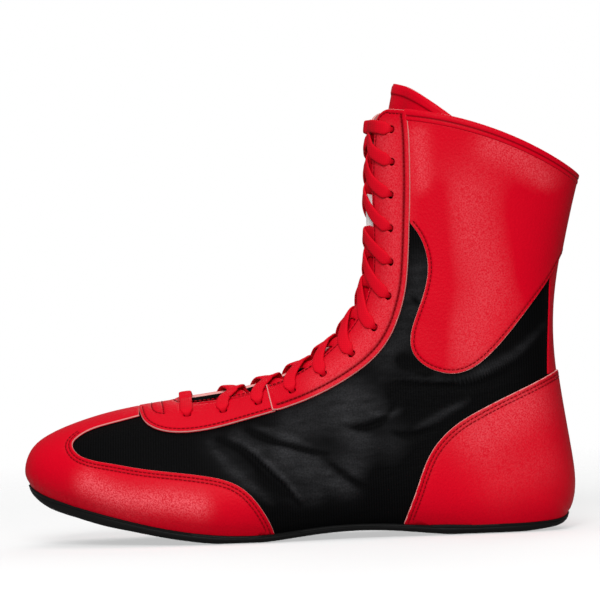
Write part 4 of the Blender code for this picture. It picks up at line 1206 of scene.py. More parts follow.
def sole_rim(first):
    """The low rim of rubber round the sole's edge, highest at the toe and heel. Its points are
    numbered from first on."""
    near = sole_stations(0.8, HEEL_CLOSED - 0.02)
    stations = np.concatenate([near[::-1], near[1:]])
    side = np.concatenate([np.full(len(near), -1.0), np.full(len(near) - 1, 1.0)])
    height = np.interp(skin(stations, side)[:, 0], *zip(*RIM_HEIGHTS))
    share = height / np.interp(stations, PATTERN_STATIONS, PATTERN_GIRTHS)
    profile = ((0.0, -0.6, 0.7), (0.0, 0.3, 0.7), (0.8, 0.35, 0.0), (0.95, 0.15, 0.0), (1.0, -0.6, 0.0))
    ring = []
    for up, level, drop in profile:
        line = surface(stations, side * (1 - up * share), np.full_like(stations, level))
        line[:, 2] -= drop
        ring.append(line)
    grid = np.stack(ring + ring[:1], axis=1)
    rows, columns, _ = grid.shape
    return grid.reshape(-1, 3), tube_faces(rows, columns, first)


def make_insole(finish):
    """The footbed: a soft cupped pad with a rounded edge."""
    toe, waist, heel = np.linspace(0.9, 2.0, 16), np.linspace(2.2, 13.0, 90), np.linspace(13.1, 13.8, 10)
    stations = np.concatenate([toe, waist, heel])
    base = section_at(stations)["base_z"]
    tuck = -UPPER_IN + INSOLE_MARGIN
    sides = [sole_loop(stations, side, np.full_like(stations, tuck)) for side in (-1.0, 1.0)]
    share = np.linspace(0, 1, 25)
    lines = []
    for part in share:
        line = sides[0] + (sides[1] - sides[0]) * part
        rim = abs(2 * part - 1)
        line[:, 2] = base + INSOLE_THICK - INSOLE_ROUND * ramp(rim, 0.9, 1.0) - INSOLE_CUP * (1 - rim**2)
        lines.append(line)
    for part in share[::-1]:
        line = sides[0] + (sides[1] - sides[0]) * part
        line[:, 2] = base + 0.2 * ramp(abs(2 * part - 1), 0.9, 1.0)
        lines.append(line)
    grid = np.stack(lines + lines[:1], axis=1)
    rows, columns, _ = grid.shape
    faces = tube_faces(rows, columns)
    return new_piece("footbed", grid.reshape(-1, 3), faces, finish, ["insole"])


def amount_at(places, patches):
    """How strong the listed patches are at each point, from 0 to 1."""
    flat_places = places[:, [0, 2]] - (BOX_SHIFT_X, 0.0)
    total = np.zeros(len(places))
    for points, strength, width in patches:
        total += strength * np.exp(-(distance_to(flat_places, smooth_curve(points)) / width) ** 2)
    return total


def crease_lift(places, side):
    """How far the creases lift each point of the fabric. Each crease thins out towards its ends."""
    flat_places = places[:, [0, 2]] - (BOX_SHIFT_X, 0.0)
    if side > 0:
        flat_places = flat_places + INNER_CREASES
    total = np.zeros(len(places))
    for points, height, width in CREASES:
        line = smooth_curve(points, CREASE_STEPS)
        swell = np.sin(np.linspace(0.1, math.pi - 0.1, len(line)))
        close = distance_to(flat_places, line) < 3 * width
        shape = np.zeros(int(close.sum()))
        for place, share in zip(line, swell):
            wide = max(width * (0.6 + 0.4 * share), CREASE_NARROWEST)
            gap = np.sum((flat_places[close] - place) ** 2, axis=1)
            shape = np.maximum(shape, (0.15 + 0.85 * share) * np.exp(-gap / wide**2))
        total[close] += height * shape
    return total


def make_upper(finish, lining):
    """The fabric upper, with its wall, its open throat and the holes for the lace."""
    fine = np.linspace(0.0, COLLAR, 1200)
    length = run_along((skin(fine, -1.0) + skin(fine, -0.45)) / 2)
    before = np.interp(np.arange(0, length[-1], FABRIC_SPACING), length, fine)
    stations = np.concatenate([before[before < THROAT_START - 0.02], [THROAT_START],
                               before[before > THROAT_START + 0.02], [COLLAR]])
    edge = throat_around(stations)
    reach = -1 + (1 - edge)[:, None] * np.linspace(0, 1, NEAR_COLUMNS)
    middle = edge[:, None] * np.linspace(-1, 1, THROAT_COLUMNS + 2)[1:-1]
    other = -1 + (1 - edge)[:, None] * np.linspace(0, 1, FAR_COLUMNS)
    arounds = np.concatenate([reach, middle, -other[:, ::-1]], axis=1)
    rows, columns = arounds.shape
    places = skin(stations[:, None], arounds).reshape(-1, 3)
    near = arounds.reshape(-1) < 0
    lift = np.where(near, crease_lift(places, -1), crease_lift(places, 1))
    lift = np.clip(lift, *CREASE_LIMITS)
    spread, turns = np.repeat(stations, columns), arounds.reshape(-1)
    rise = gape(spread, turns)
    outer = surface(spread, turns, UPPER_OUT + lift + rise)
    inner = surface(spread, turns, UPPER_IN + 0.6 * np.minimum(lift, 0) + rise)
    numbers = np.arange(columns - 1)
    throat = (numbers >= NEAR_COLUMNS - 1) & (numbers < NEAR_COLUMNS + THROAT_COLUMNS)
    keep = ~((stations[:-1, None] > THROAT_START - 0.01) & throat[None, :])
    grid = outer.reshape(rows, columns, 3)
    middles = (grid[:-1, :-1] + grid[1:, 1:]) / 2
    for station, around, radius in eyelet_holes():
        keep &= np.linalg.norm(middles - surface(station, around, UPPER_OUT), axis=-1) > radius + 0.5
    corner = stay_corner()
    cut = np.interp(stations[:-1], corner[:, 0], -corner[:, 1]) + CORNER_MARGIN
    keep &= ~((stations[:-1, None] > corner[0, 0]) & (np.abs(arounds[:-1, :-1]) < cut[:, None]))
    faces = grid_faces(rows, columns, keep)
    # Painted sheen: the listed patches, more on the creases' ridges and less in their troughs.
    painted_sheen = np.clip(amount_at(places, PAINTED_FABRIC_SHEEN) + CREASE_SHEEN * np.clip(lift, -1.0, 1.0), 0, 1)
    item = thick_piece("fabric_upper", outer, inner, faces, finish, ["upper"],
                       {"painted_sheen": (painted_sheen, np.zeros_like(painted_sheen))})
    item.data.materials.append(lining)
    sheet = len(welded(outer, faces))
    # The faces of the inner side come right after those of the outer side.
    for face in item.data.polygons[sheet:2 * sheet]:
        face.material_index = 1
    return item


def eyelet_holes():
    """(station, around, radius) of every punched hole."""
    stations = eyelet_stations()
    arounds = eyelet_around(stations)
    return [(station, side * around, EYELET_RADIUS)
            for side in (-1, 1) for station, around in zip(stations, arounds)]


def holes_in(loop):
    """The punched holes that lie inside an outline."""
    holes = np.array(eyelet_holes())
    chosen = within(flat(loop, False), flat(holes[:, :2], False))
    return [tuple(hole) for hole in holes[chosen]]


# Leather panels

def base_line(first, last, count=200):
    """The sole's edge on the outer side between two stations."""
    stations = np.linspace(first, last, count)
    return np.stack([stations, np.full(count, -1.0)], axis=1)


def throat_line(first, last, count=160):
    """The throat's edge on the outer side between two stations."""
    stations = np.linspace(first, last, count)
    return np.stack([stations, -throat_around(stations)], axis=1)


def side_line(points):
    """A side view line on the outer side."""
    return on_skin(points) * (1.0, -1.0)


def to_base(line):
    """The line carried on to the sole's edge or the back line."""
    return np.concatenate([line, [[line[-1, 0], -1.0]]])


def to_ridge(line):
    """The line started from the ridge."""
    return np.concatenate([[[line[0, 0], 0.0]], line])


def front_edge():
    """The eyestay's front end, from the ridge to where the toe cap's edge meets it."""
    corner = EYESTAY_EDGE[0]
    return to_ridge(side_line([(corner[0], corner[1] + 0.6), (corner[0], TOE_CAP_EDGE[0][1])]))


def toe_cap_loop():
    """The outline of the toe cap."""
    edge = to_base(side_line(smooth_curve(TOE_CAP_EDGE)))
    return closed_loop(joined(front_edge(), edge, base_line(edge[-1, 0], 0.0)))


def eyestay_front_loop():
    """The outline of the U round the throat's front end."""
    edge = side_line(smooth_curve(EYESTAY_EDGE[:EYESTAY_SEAM_POINT + 1]))
    return closed_loop(joined(to_ridge(edge), seam_line(0.0), front_throat()))


def front_throat():
    """The throat's edge from the seam to its round start on the ridge."""
    turn = np.linspace(0, math.pi / 2, 20)
    start = THROAT_START + THROAT_BEND
    corner = throat_around(np.array([start]))[0]
    bend = np.stack([start - THROAT_BEND * np.sin(turn), -corner * np.cos(turn)], axis=1)
    return joined(throat_line(seam_station(), start), bend)


def seam_station():
    """Where the eyestay's seam meets the throat's edge."""
    stations = np.linspace(7.5, 9.8, 400)
    edge = skin(stations, -throat_around(stations))
    low_x, low_z = EYESTAY_EDGE[EYESTAY_SEAM_POINT]
    share = (edge[:, 2] - low_z) / (SEAM_TOP[1] - low_z)
    line_x = low_x + share * (SEAM_TOP[0] - low_x)
    return stations[int(np.argmin(np.abs(edge[:, 0] - BOX_SHIFT_X - line_x)))]


def stay_corner():
    """The throat's edge near the collar: straight, then round into the eyestay's top."""
    spacing = np.linalg.norm(skin(COLLAR, -0.25) - skin(COLLAR - 0.5, -0.25)) / 0.5
    low = COLLAR - CORNER_RADIUS / spacing
    corner = around_at_reach(np.array([COLLAR]), CORNER_REACH)[0]
    rate = np.linalg.norm(skin(COLLAR, corner + 0.01) - skin(COLLAR, corner)) / 0.01
    turn = np.linspace(0, math.pi / 2, 24)
    bend = np.stack([low + (COLLAR - low) * np.sin(turn),
                     -corner - CORNER_RADIUS / rate * (1 - np.cos(turn))], axis=1)
    stations = np.linspace(CORNER_FROM, low, 30)
    straight = np.stack([stations, -around_at_reach(stations, CORNER_REACH)], axis=1)
    start = -throat_around(np.array([CORNER_FROM]))[0]
    blend = ramp(stations, CORNER_FROM, CORNER_STRAIGHT)
    straight[:, 1] = start * (1 - blend) + straight[:, 1] * blend
    return joined(straight, bend)


def eyestay_shaft_edge():
    """The rear edge of the outer eyestay, from its seam to the collar."""
    return side_line(smooth_curve(EYESTAY_EDGE[EYESTAY_SEAM_POINT:]))


def seam_line(shift):
    """The seam between the eyestay's pieces, from its lower edge to the throat."""
    low, top = eyestay_shaft_edge()[0], seam_station()
    return np.stack([np.linspace(low[0], top, 30) - shift,
                     np.linspace(low[1], -throat_around(np.array([top]))[0], 30)], axis=1)


def eyestay_shaft_loop(side):
    """The outline of the eyestay on one side of the shaft."""
    edge = eyestay_shaft_edge()
    seam = seam_line(SEAM_OVERLAP)
    corner = stay_corner()
    top = np.stack([np.full(20, COLLAR), np.linspace(edge[-1, 1], corner[-1, 1], 20)], axis=1)
    throat = throat_line(CORNER_FROM, seam_station())
    half = joined(seam[::-1], edge, top, corner[::-1], throat)[:-1]
    return half if side < 0 else mirrored(half)


def collar_edge(drop, first):
    """The line a distance below the collar, from around first to the back line."""
    arounds = np.linspace(first, -1.0, 160)
    return np.stack([COLLAR - drop / collar_spacing(arounds), arounds], axis=1)


def ankle_panel_loop():
    """The outline of the panel round the back of the shaft."""
    edge = to_base(side_line(smooth_curve(PANEL_EDGE)))
    front = side_line([point for point in smooth_curve(EYESTAY_EDGE) if point[1] > PANEL_EDGE[0][1]])
    top = collar_edge(BINDING_WIDTH - 0.6, front[-1, 1])
    front = front[front[:, 0] < top[0, 0]]
    return closed_loop(joined(edge[::-1], front, top))


def heel_counter_loop():
    """The outline of the heel counter."""
    edge = to_base(side_line(smooth_curve(COUNTER_EDGE)))
    edge = np.concatenate([[[edge[0, 0], -1.0]], edge])
    return closed_loop(joined(edge, base_line(edge[-1, 0], HEEL_CLOSED)))


def back_strip_loop():
    """The outline of the strip down the back."""
    lower = [point for point in smooth_curve(COUNTER_EDGE) if point[0] > STRIP_EDGE[-1][0] - 0.2]
    upper = [point for point in smooth_curve(PANEL_EDGE) if point[0] > STRIP_EDGE[0][0] - 0.2]
    low, high = to_base(side_line(lower[::-1])), to_base(side_line(upper))
    side = side_line(smooth_curve(STRIP_EDGE))
    return closed_loop(joined(high[::-1], side, low))


def offset_row(line, loop, over_back, distance):
    """A line moved a distance into the panel, as a row of stitches runs."""
    line = spaced(line, PANEL_SPACING)
    square = sideways(line)
    outline = flat(loop, over_back)
    tried = [stepped(line, square * distance * sign) for sign in (1, -1)]
    inside = [np.mean(within(outline, flat(rows, over_back))) for rows in tried]
    rows = tried[int(inside[1] > inside[0])]
    rows[:, 1] = np.clip(rows[:, 1], -1.0, 1.0)
    border = laid(loop)
    kept = within(outline, flat(rows, over_back))
    kept &= distance_to(laid(rows), border, True) > 0.93 * distance
    return rows[kept]


# Collar binding, tongue and label

def make_collar_binding(finish):
    """A strip of leather folded over the collar's edge, with dark lines of its two seams painted on, partly
    as stitching and partly as shade.
    """
    start = eyestay_shaft_edge()[-1, 1] + 0.006
    half = np.linspace(start, -1.0, 150)
    arounds = np.concatenate([half, -half[::-1][1:]])
    profile = [(BINDING_WIDTH, BINDING_IN), (BINDING_WIDTH, -0.1), (BINDING_WIDTH - 0.35, 0.2)]
    for drop in np.linspace(BINDING_WIDTH - 0.8, 0.9, 13):
        level = 0.25 - 0.3 * math.exp(-((drop - BINDING_WIDTH / 2) / 0.45) ** 2)
        profile.append((drop, level))
    middle = UPPER_IN / 2 - 0.3
    reach = 0.25 - middle
    for angle in np.linspace(0, math.pi, 13)[1:-1]:
        profile.append((0.4 - 1.6 * math.sin(angle), middle + reach * math.cos(angle)))
    under = 2 * middle - 0.25
    profile += [(0.9, under), (2.5, under), (4.2, under), (4.6, under + 0.3), (4.6, BINDING_LINING),
                (-SEAT_GAP, BINDING_LINING), (-SEAT_GAP, BINDING_IN)]
    rise = gape(np.full_like(arounds, COLLAR), arounds)
    ring = [collar_point(arounds, drop, level + rise) for drop, level in profile]
    grid = np.stack(ring + ring[:1], axis=1)
    rows, columns, _ = grid.shape
    faces = tube_faces(rows, columns)
    drops = np.array([drop for drop, _ in profile] + [profile[0][0]])
    # Dark lines painted along the middle seam and the lower edge: partly the stitching and partly painted
    # shade in the groove and under the edge.
    front = np.arange(columns) < 16
    seam_line_and_shade = np.exp(-((drops - BINDING_WIDTH / 2) / 0.4) ** 2)
    seam_line_and_shade = seam_line_and_shade + np.exp(-((drops - BINDING_WIDTH) / 0.35) ** 2)
    seam_line_and_shade = np.tile(np.where(front, np.minimum(seam_line_and_shade, 1.0), 0.0), rows)
    return new_piece("collar_binding_leather", grid.reshape(-1, 3), faces, finish,
                     ["collar_binding"], {"seam_line_and_shade": seam_line_and_shade})


def hem_rise(along):
    """The folded hem at the tongue's top stands a little proud."""
    below = (1 - along) * TONGUE_LENGTH
    return 0.45 * ramp(TONGUE_HEM + 0.6 - below, 0.0, 1.0)


def make_tongue(finish):
    """The leather tongue, with a folded hem at its top."""
    along = np.concatenate([np.linspace(0, 0.9, 110), np.linspace(0.903, 1.0, 36)])[:, None]
    across = np.linspace(-1, 1, 61)[None, :]
    rim = ramp(np.abs(across), 0.94, 1.0) * 0.6 + ramp(along, 0.994, 1.0) * 0.6
    outer = tongue_point(along, across, rim - hem_rise(along))
    inner = tongue_point(along, across, TONGUE_THICK - 0.6 * rim)
    rows, columns = len(along), across.shape[1]
    faces = grid_faces(rows, columns)
    below = (1 - along) * TONGUE_LENGTH
    # A dark line painted along the hem's seam: partly its stitching and partly painted shade in the fold.
    line = 0.9 * np.exp(-((below - TONGUE_HEM) / 0.42) ** 2)
    seam_line_and_shade = (np.minimum(line, 1.0) + 0 * across).reshape(-1)
    # Painted sheen: a paler patch near the tongue's top stands for a highlight.
    sheen = (0.5 * ramp(along, 0.93, 0.97) * np.exp(-((across - 0.25) / 0.22) ** 2)).reshape(-1)
    return thick_piece("tongue_leather", outer.reshape(-1, 3), inner.reshape(-1, 3), faces, finish,
                       ["tongue"], {"seam_line_and_shade": (seam_line_and_shade, 0 * seam_line_and_shade), "painted_sheen": (sheen, 0 * sheen)})


def make_tongue_label(finish):
    """A plain woven patch on the middle of the tongue, below the laces."""
    rows, columns = 30, 24
    along = np.linspace(*LABEL_ROWS, rows)[:, None]
    across = np.linspace(-LABEL_ACROSS, LABEL_ACROSS, columns)[None, :]
    fold = 0.12 * np.exp(-((along - along.min()) / 0.006) ** 2)
    outer = tongue_point(along, across, -LABEL_RISE - fold + 0 * across)
    inner = tongue_point(along, across, np.full((rows, columns), 0.05))
    faces = grid_faces(rows, columns)
    return thick_piece("woven_label", outer.reshape(-1, 3), inner.reshape(-1, 3), faces, finish,
                       ["tongue_label"])


# Lace

def strand(path, levels):
    """Rows of a lace strand along a path from an eyelet, with its level along the path's length."""
    run = run_along(laid(path))
    rows = list(LACE_EXIT)
    for distance in np.linspace(5.2, run[-1], 12):
        rows.append((distance, np.interp(distance / run[-1], *levels), 1.0))
    points = []
    for distance, level, opened in rows:
        station = np.interp(distance, run, path[:, 0])
        around = np.interp(distance, run, path[:, 1])
        sag = max(0.0, 1 - (around / throat_around(station)) ** 2)
        slack = LACE_TAUT * ramp(station, *TAUT_STATIONS) * sag
        points.append((station, around, level - slack + float(gape(station, around)), opened))
    return points


def lace_leg(first, second, rise, side, cross_level):
    """Path of the lace out of one eyelet, across the throat, under the far eyestay and up to
    the next eyelet there, as (station, around, level, openness) rows."""
    start = eyelet_around(np.array([first]))[0]
    far = eyelet_around(np.array([second]))[0]
    edge = throat_around(np.array([second]))[0] * STRAND_REACH
    turn = first + (second - first) * rise
    share = np.linspace(0, 1, 80)
    stations = first + (turn - first) * ramp(share, 0.12, 1.0)
    path = np.stack([stations, side * (start - (edge + start) * share)], axis=1)
    middle = start / (start + edge)
    near = (start - edge) / (start + edge)
    levels = (LACE_ON_EYESTAY, LACE_ON_EYESTAY, cross_level, LACE_AT_FAR_EDGE)
    points = strand(path, ((0, near, middle, 1), levels))
    for share in (0.35, 0.7):
        station = turn + (second - turn) * share
        around = -side * (edge + (far - edge) * share)
        level = LACE_BEHIND + float(gape(station, around))
        points.append((station, around, level, 0.9 - 0.6 * share))
    return points


def lace_bar(station, side):
    """Half of a straight bar, from the throat's middle to an eyelet."""
    end = eyelet_around(np.array([station]))[0]
    share = np.linspace(1, 0, 60)
    path = np.stack([np.full(60, station), side * end * share], axis=1)
    return strand(path, ((0, 1), (LACE_ON_EYESTAY, LACE_ON_EYESTAY)))[::-1]


def lace_half(side):
    """One half of the lace, from the middle of the bottom bar to its end at the top."""
    stations = eyelet_stations()
    points = lace_bar(stations[0], side)
    middle = (stations[0] + stations[1]) / 2
    points.append((middle, side * eyelet_around(np.array([middle]))[0], LACE_BEHIND, 0.3))
    for row, rise in enumerate(STRAND_RISES):
        here = side if row % 2 == 0 else -side
        sunk = LACE_SINKS * (1 - ramp(stations[row + 1], *ANKLE_BEND))
        level = LACE_OVER_CROSS if here < 0 else LACE_UNDER_CROSS - sunk
        points += lace_leg(stations[row + 1], stations[row + 2], rise, here, level)
    return np.array(points)


def ribbon_rings(rows, width, thick):
    """Rings of a flat soft lace along (station, around, level, openness) rows. Where it is
    least open it gathers into a small round bundle, as in an eyelet."""
    centres = surface(rows[:, 0], rows[:, 1], rows[:, 2])
    normals = outward(rows[:, 0], rows[:, 1])
    length = run_along(centres)
    kept = np.concatenate([[True], np.diff(length) > 1e-4])
    centres, normals, opened, length = centres[kept], normals[kept], rows[kept, 3], length[kept]
    every = np.column_stack([centres, normals, opened])
    places = np.linspace(0, length[-1], int(length[-1] / 0.7))
    every = spline_at(length, every, spline_bends(length, every), places)
    centres, normals, opened = every[:, :3], every[:, 3:6], np.clip(every[:, 6], 0, 1)
    ways = np.gradient(centres, axis=0)
    ways /= np.linalg.norm(ways, axis=1, keepdims=True)
    across = np.cross(ways, normals)
    firm = np.flatnonzero(np.linalg.norm(across, axis=1) > 0.5)
    across /= np.maximum(np.linalg.norm(across, axis=1, keepdims=True), 1e-6)
    for before, here in zip(firm, firm[1:]):
        if across[here] @ across[before] < 0:
            across[here] *= -1
    numbers = np.arange(len(across))
    across = np.stack([np.interp(numbers, firm, across[firm, axis]) for axis in range(3)], axis=1)
    across -= ways * np.sum(across * ways, axis=1, keepdims=True)
    across /= np.maximum(np.linalg.norm(across, axis=1, keepdims=True), 1e-6)
    rises = np.cross(across, ways)
    half = (BUNDLE_WIDTH + (width - BUNDLE_WIDTH) * opened)[:, None] / 2
    deep = (BUNDLE_DEPTH + (thick - BUNDLE_DEPTH) * opened)[:, None] / 2
    turn = np.linspace(0, 2 * math.pi, 14, endpoint=False)
    lines = []
    for angle in turn:
        wide = np.sign(math.cos(angle)) * abs(math.cos(angle)) ** 0.55
        high = np.sign(math.sin(angle)) * abs(math.sin(angle)) ** 0.8
        lines.append(centres + across * half * wide + rises * deep * high)
    return np.stack(lines + lines[:1], axis=1)


def make_lace(finish, sizes):
    """The flat lace through the eyelets: one ribbon for the bar at the bottom and the crossings,
    and one for the bar at the top."""
    stations = eyelet_stations()
    first, second = lace_half(-1), lace_half(1)
    points, faces = [], []
    nodes = ["lace_bar_bottom", "lace_bar_top"]
    nodes += [f"lace_cross_{row:02d}" for row in range(2, EYELETS_PER_SIDE)]
    bar = np.array(lace_bar(stations[-1], 1)[::-1] + lace_bar(stations[-1], -1)[1:])
    whole = np.concatenate([first[::-1], second[1:]])
    count = 0
    for rows in (whole, bar):
        grid = ribbon_rings(rows, sizes.lace_width / MM, sizes.lace_thickness / MM)
        length, columns, _ = grid.shape
        points.append(grid.reshape(-1, 3))
        faces += tube_faces(length, columns, count)
        count += length * columns
    return new_piece("flat_lace", np.concatenate(points), faces, finish, nodes, sharp=70.0)


# Stitching

def stitch_shape():
    """One stitch, modelled once: a short round-ended thread along X, as points and faces."""
    builder = bmesh.new()
    bmesh.ops.create_uvsphere(builder, u_segments=6, v_segments=5, radius=0.5)
    bmesh.ops.rotate(builder, verts=builder.verts, matrix=Matrix.Rotation(math.pi / 2, 3, "Y"))
    points = np.array([vert.co for vert in builder.verts])
    faces = [tuple(vert.index for vert in face.verts) for face in builder.faces]
    builder.free()
    points[:, 0] = np.sign(points[:, 0]) * np.abs(2 * points[:, 0]) ** 0.6 / 2
    return points * (STITCH_LENGTH, STITCH_THICK, STITCH_THICK), faces


def stitches_along(lines, level):
    """Stitches in a row along each line, sunk into the leather's groove."""
    shape, shape_faces = stitch_shape()
    points, faces, count = [], [], 0
    for line in lines:
        if len(line) < 4:
            continue
        row = spaced(line, STITCH_PITCH)
        places = surface(row[:, 0], row[:, 1], np.full(len(row), level))
        normals = outward(row[:, 0], row[:, 1])
        ways = np.gradient(places, axis=0)
        for place, way, normal in zip(places, ways, normals):
            way = way / np.linalg.norm(way)
            across = np.cross(normal, way)
            points.append(place + shape @ np.stack([way, across / np.linalg.norm(across), normal]))
            faces += [tuple(corner + count for corner in face) for face in shape_faces]
            count += len(shape)
    return np.concatenate(points), faces


def make_stitching(name, lines, level, finish):
    """One piece of every stitch along some lines."""
    points, faces = stitches_along(lines, level)
    return new_piece(name, points, faces, finish, [], sharp=80.0)


# Stage

def make_stage(colours):
    """A plain pale floor, soft studio light, and the camera at the photograph's angle."""
    scene = bpy.context.scene
    bpy.ops.object.select_all(action="DESELECT")
    bpy.ops.mesh.primitive_circle_add(vertices=96, radius=FLOOR_RADIUS, fill_type="NGON",
                                    location=(0, 0, -FLOOR_DROP))
    floor = bpy.context.object
    floor.name = "studio_floor"
    bpy.ops.object.transform_apply(location=True, rotation=True, scale=True)
    material, tree, shader, place = blank_material("pale_floor", Roughness=0.9, Specular_IOR_Level=0.1)
    shader.inputs["Base Color"].default_value = opaque(colours.floor)
    reach = add_node(tree, "ShaderNodeVectorMath", {0: place.outputs["Object"]}, operation="LENGTH")
    fade = add_node(tree, "ShaderNodeMapRange", {
        "Value": reach.outputs["Value"], "From Min": 0.15, "From Max": 1.2, "To Min": 0.5, "To Max": 0.0},
        interpolation_type="SMOOTHSTEP")
    tree.links.new(fade.outputs["Result"], shader.inputs["Alpha"])
    floor.data.materials.append(material)

    world = bpy.data.worlds.new("studio")
    world.use_nodes = True
    tree = world.node_tree
    way = add_node(tree, "ShaderNodeTexCoord")
    parts = add_node(tree, "ShaderNodeSeparateXYZ", {"Vector": way.outputs["Generated"]})
    glow = add_node(tree, "ShaderNodeMapRange", {
        "Value": parts.outputs["Z"], "From Min": -0.2, "From Max": 0.3, "To Min": 0.10, "To Max": 0.2})
    seen = add_node(tree, "ShaderNodeLightPath")
    strength = add_node(tree, "ShaderNodeMix", {
        0: seen.outputs["Is Camera Ray"], 2: glow.outputs["Result"], 3: 1.0}, data_type="FLOAT")
    tree.links.new(strength.outputs[0], tree.nodes["Background"].inputs["Strength"])
    tree.nodes["Background"].inputs["Color"].default_value = (1.0, 1.0, 1.0, 1.0)
    scene.world = world
    scene.view_settings.view_transform = "Standard"

    for name, place, size, power in LIGHTS:
        lamp = bpy.data.lights.new(name, "AREA")
        lamp.shape = "DISK"
        lamp.size = size
        lamp.energy = power
        item = bpy.data.objects.new(name, lamp)
        scene.collection.objects.link(item)
        item.location = place
        item.rotation_euler = (Vector(LIGHTS_AIM) - Vector(place)).to_track_quat("-Z", "Y").to_euler()

    lens = bpy.data.cameras.new("photo_camera")
    lens.sensor_width = SENSOR
    lens.lens = SENSOR * CAMERA_AWAY / (PHOTO_WIDTH * PHOTO_SCALE)
    lens.clip_end = 50.0
    camera = bpy.data.objects.new("photo_camera", lens)
    scene.collection.objects.link(camera)
    level = Matrix.Translation(CAMERA_PLACE) @ Matrix.Rotation(math.pi / 2, 4, "X")
    camera.matrix_world = level @ Matrix.Rotation(math.radians(CAMERA_ROLL), 4, "Z")
    scene.camera = camera


def make_panels(leather, thread, inset):
    """Cuts every leather panel, with rows of stitches along its seamed edges."""
    second = inset + ROW_SPACING
    cap = toe_cap_loop()
    cap_edge = to_base(side_line(smooth_curve(TOE_CAP_EDGE)[CAP_ROWS_FROM:]))
    cap_rows = both_sides([offset_row(cap_edge, cap, False, distance) for distance in (inset, second)])
    leather_panel("toe_cap", cap, leather, 0.0, cap_rows)

    front = eyestay_front_loop()
    front_line = side_line(smooth_curve(EYESTAY_EDGE[:EYESTAY_SEAM_POINT + 1]))
    front_rows = [offset_row(front_line, front, False, FRONT_EDGE_ROW)]
    front_rows.append(offset_row(front_throat(), front, False, FRONT_THROAT_ROW))
    front_rows += [to_ridge(side_line(smooth_curve(line))) for line in HALF_MOON]
    front_rows = both_sides(front_rows)
    leather_panel("eyestay_front", front, leather, EYESTAY_OUT, front_rows, holes_in(front))

    shaft_rows = []
    for side, name in ((-1, "eyestay_lateral"), (1, "eyestay_medial")):
        shaft = eyestay_shaft_loop(side)
        edge = eyestay_shaft_edge() * (1.0, -side)
        corner = stay_corner()
        across = np.linspace(corner[-1, 1], edge[-1, 1] * -side, 38)[:30]
        top = np.stack([np.full(30, COLLAR), across], axis=1)
        throat = joined(throat_line(seam_station(), CORNER_FROM), corner, top) * (1.0, -side)
        throat_row = offset_row(throat, shaft, False, SHAFT_THROAT_ROW)
        edge_row = offset_row(edge, shaft, False, SHAFT_EDGE_ROW)
        leather_panel(name, shaft, leather, EYESTAY_OUT, [throat_row], holes_in(shaft),
                      lapped=seam_line(SEAM_OVERLAP) * (1.0, -side), deep_rows=[edge_row])
        shaft_rows += [throat_row, edge_row]

    panel = ankle_panel_loop()
    panel_edge = to_base(side_line(smooth_curve(PANEL_EDGE)))
    panel_rows = both_sides([offset_row(panel_edge, panel, True, inset)])
    leather_panel("ankle_panel", panel, leather, 0.0, panel_rows, over_back=True)

    counter = heel_counter_loop()
    counter_edge = to_base(side_line(smooth_curve(COUNTER_EDGE)))
    counter_rows = both_sides([
        offset_row(counter_edge, counter, True, distance) for distance in (inset, second)])
    leather_panel("heel_counter", counter, leather, 0.0, counter_rows, over_back=True)

    leather_panel("back_strip", back_strip_loop(), leather, STRIP_OUT, over_back=True, pale=STRIP_PALE)

    make_stitching("panel_stitches", cap_rows + panel_rows + counter_rows, -STITCH_SINK, thread)
    make_stitching("eyestay_stitches", front_rows + shaft_rows, EYESTAY_OUT - STITCH_SINK, thread)


# Settings, operators and panel

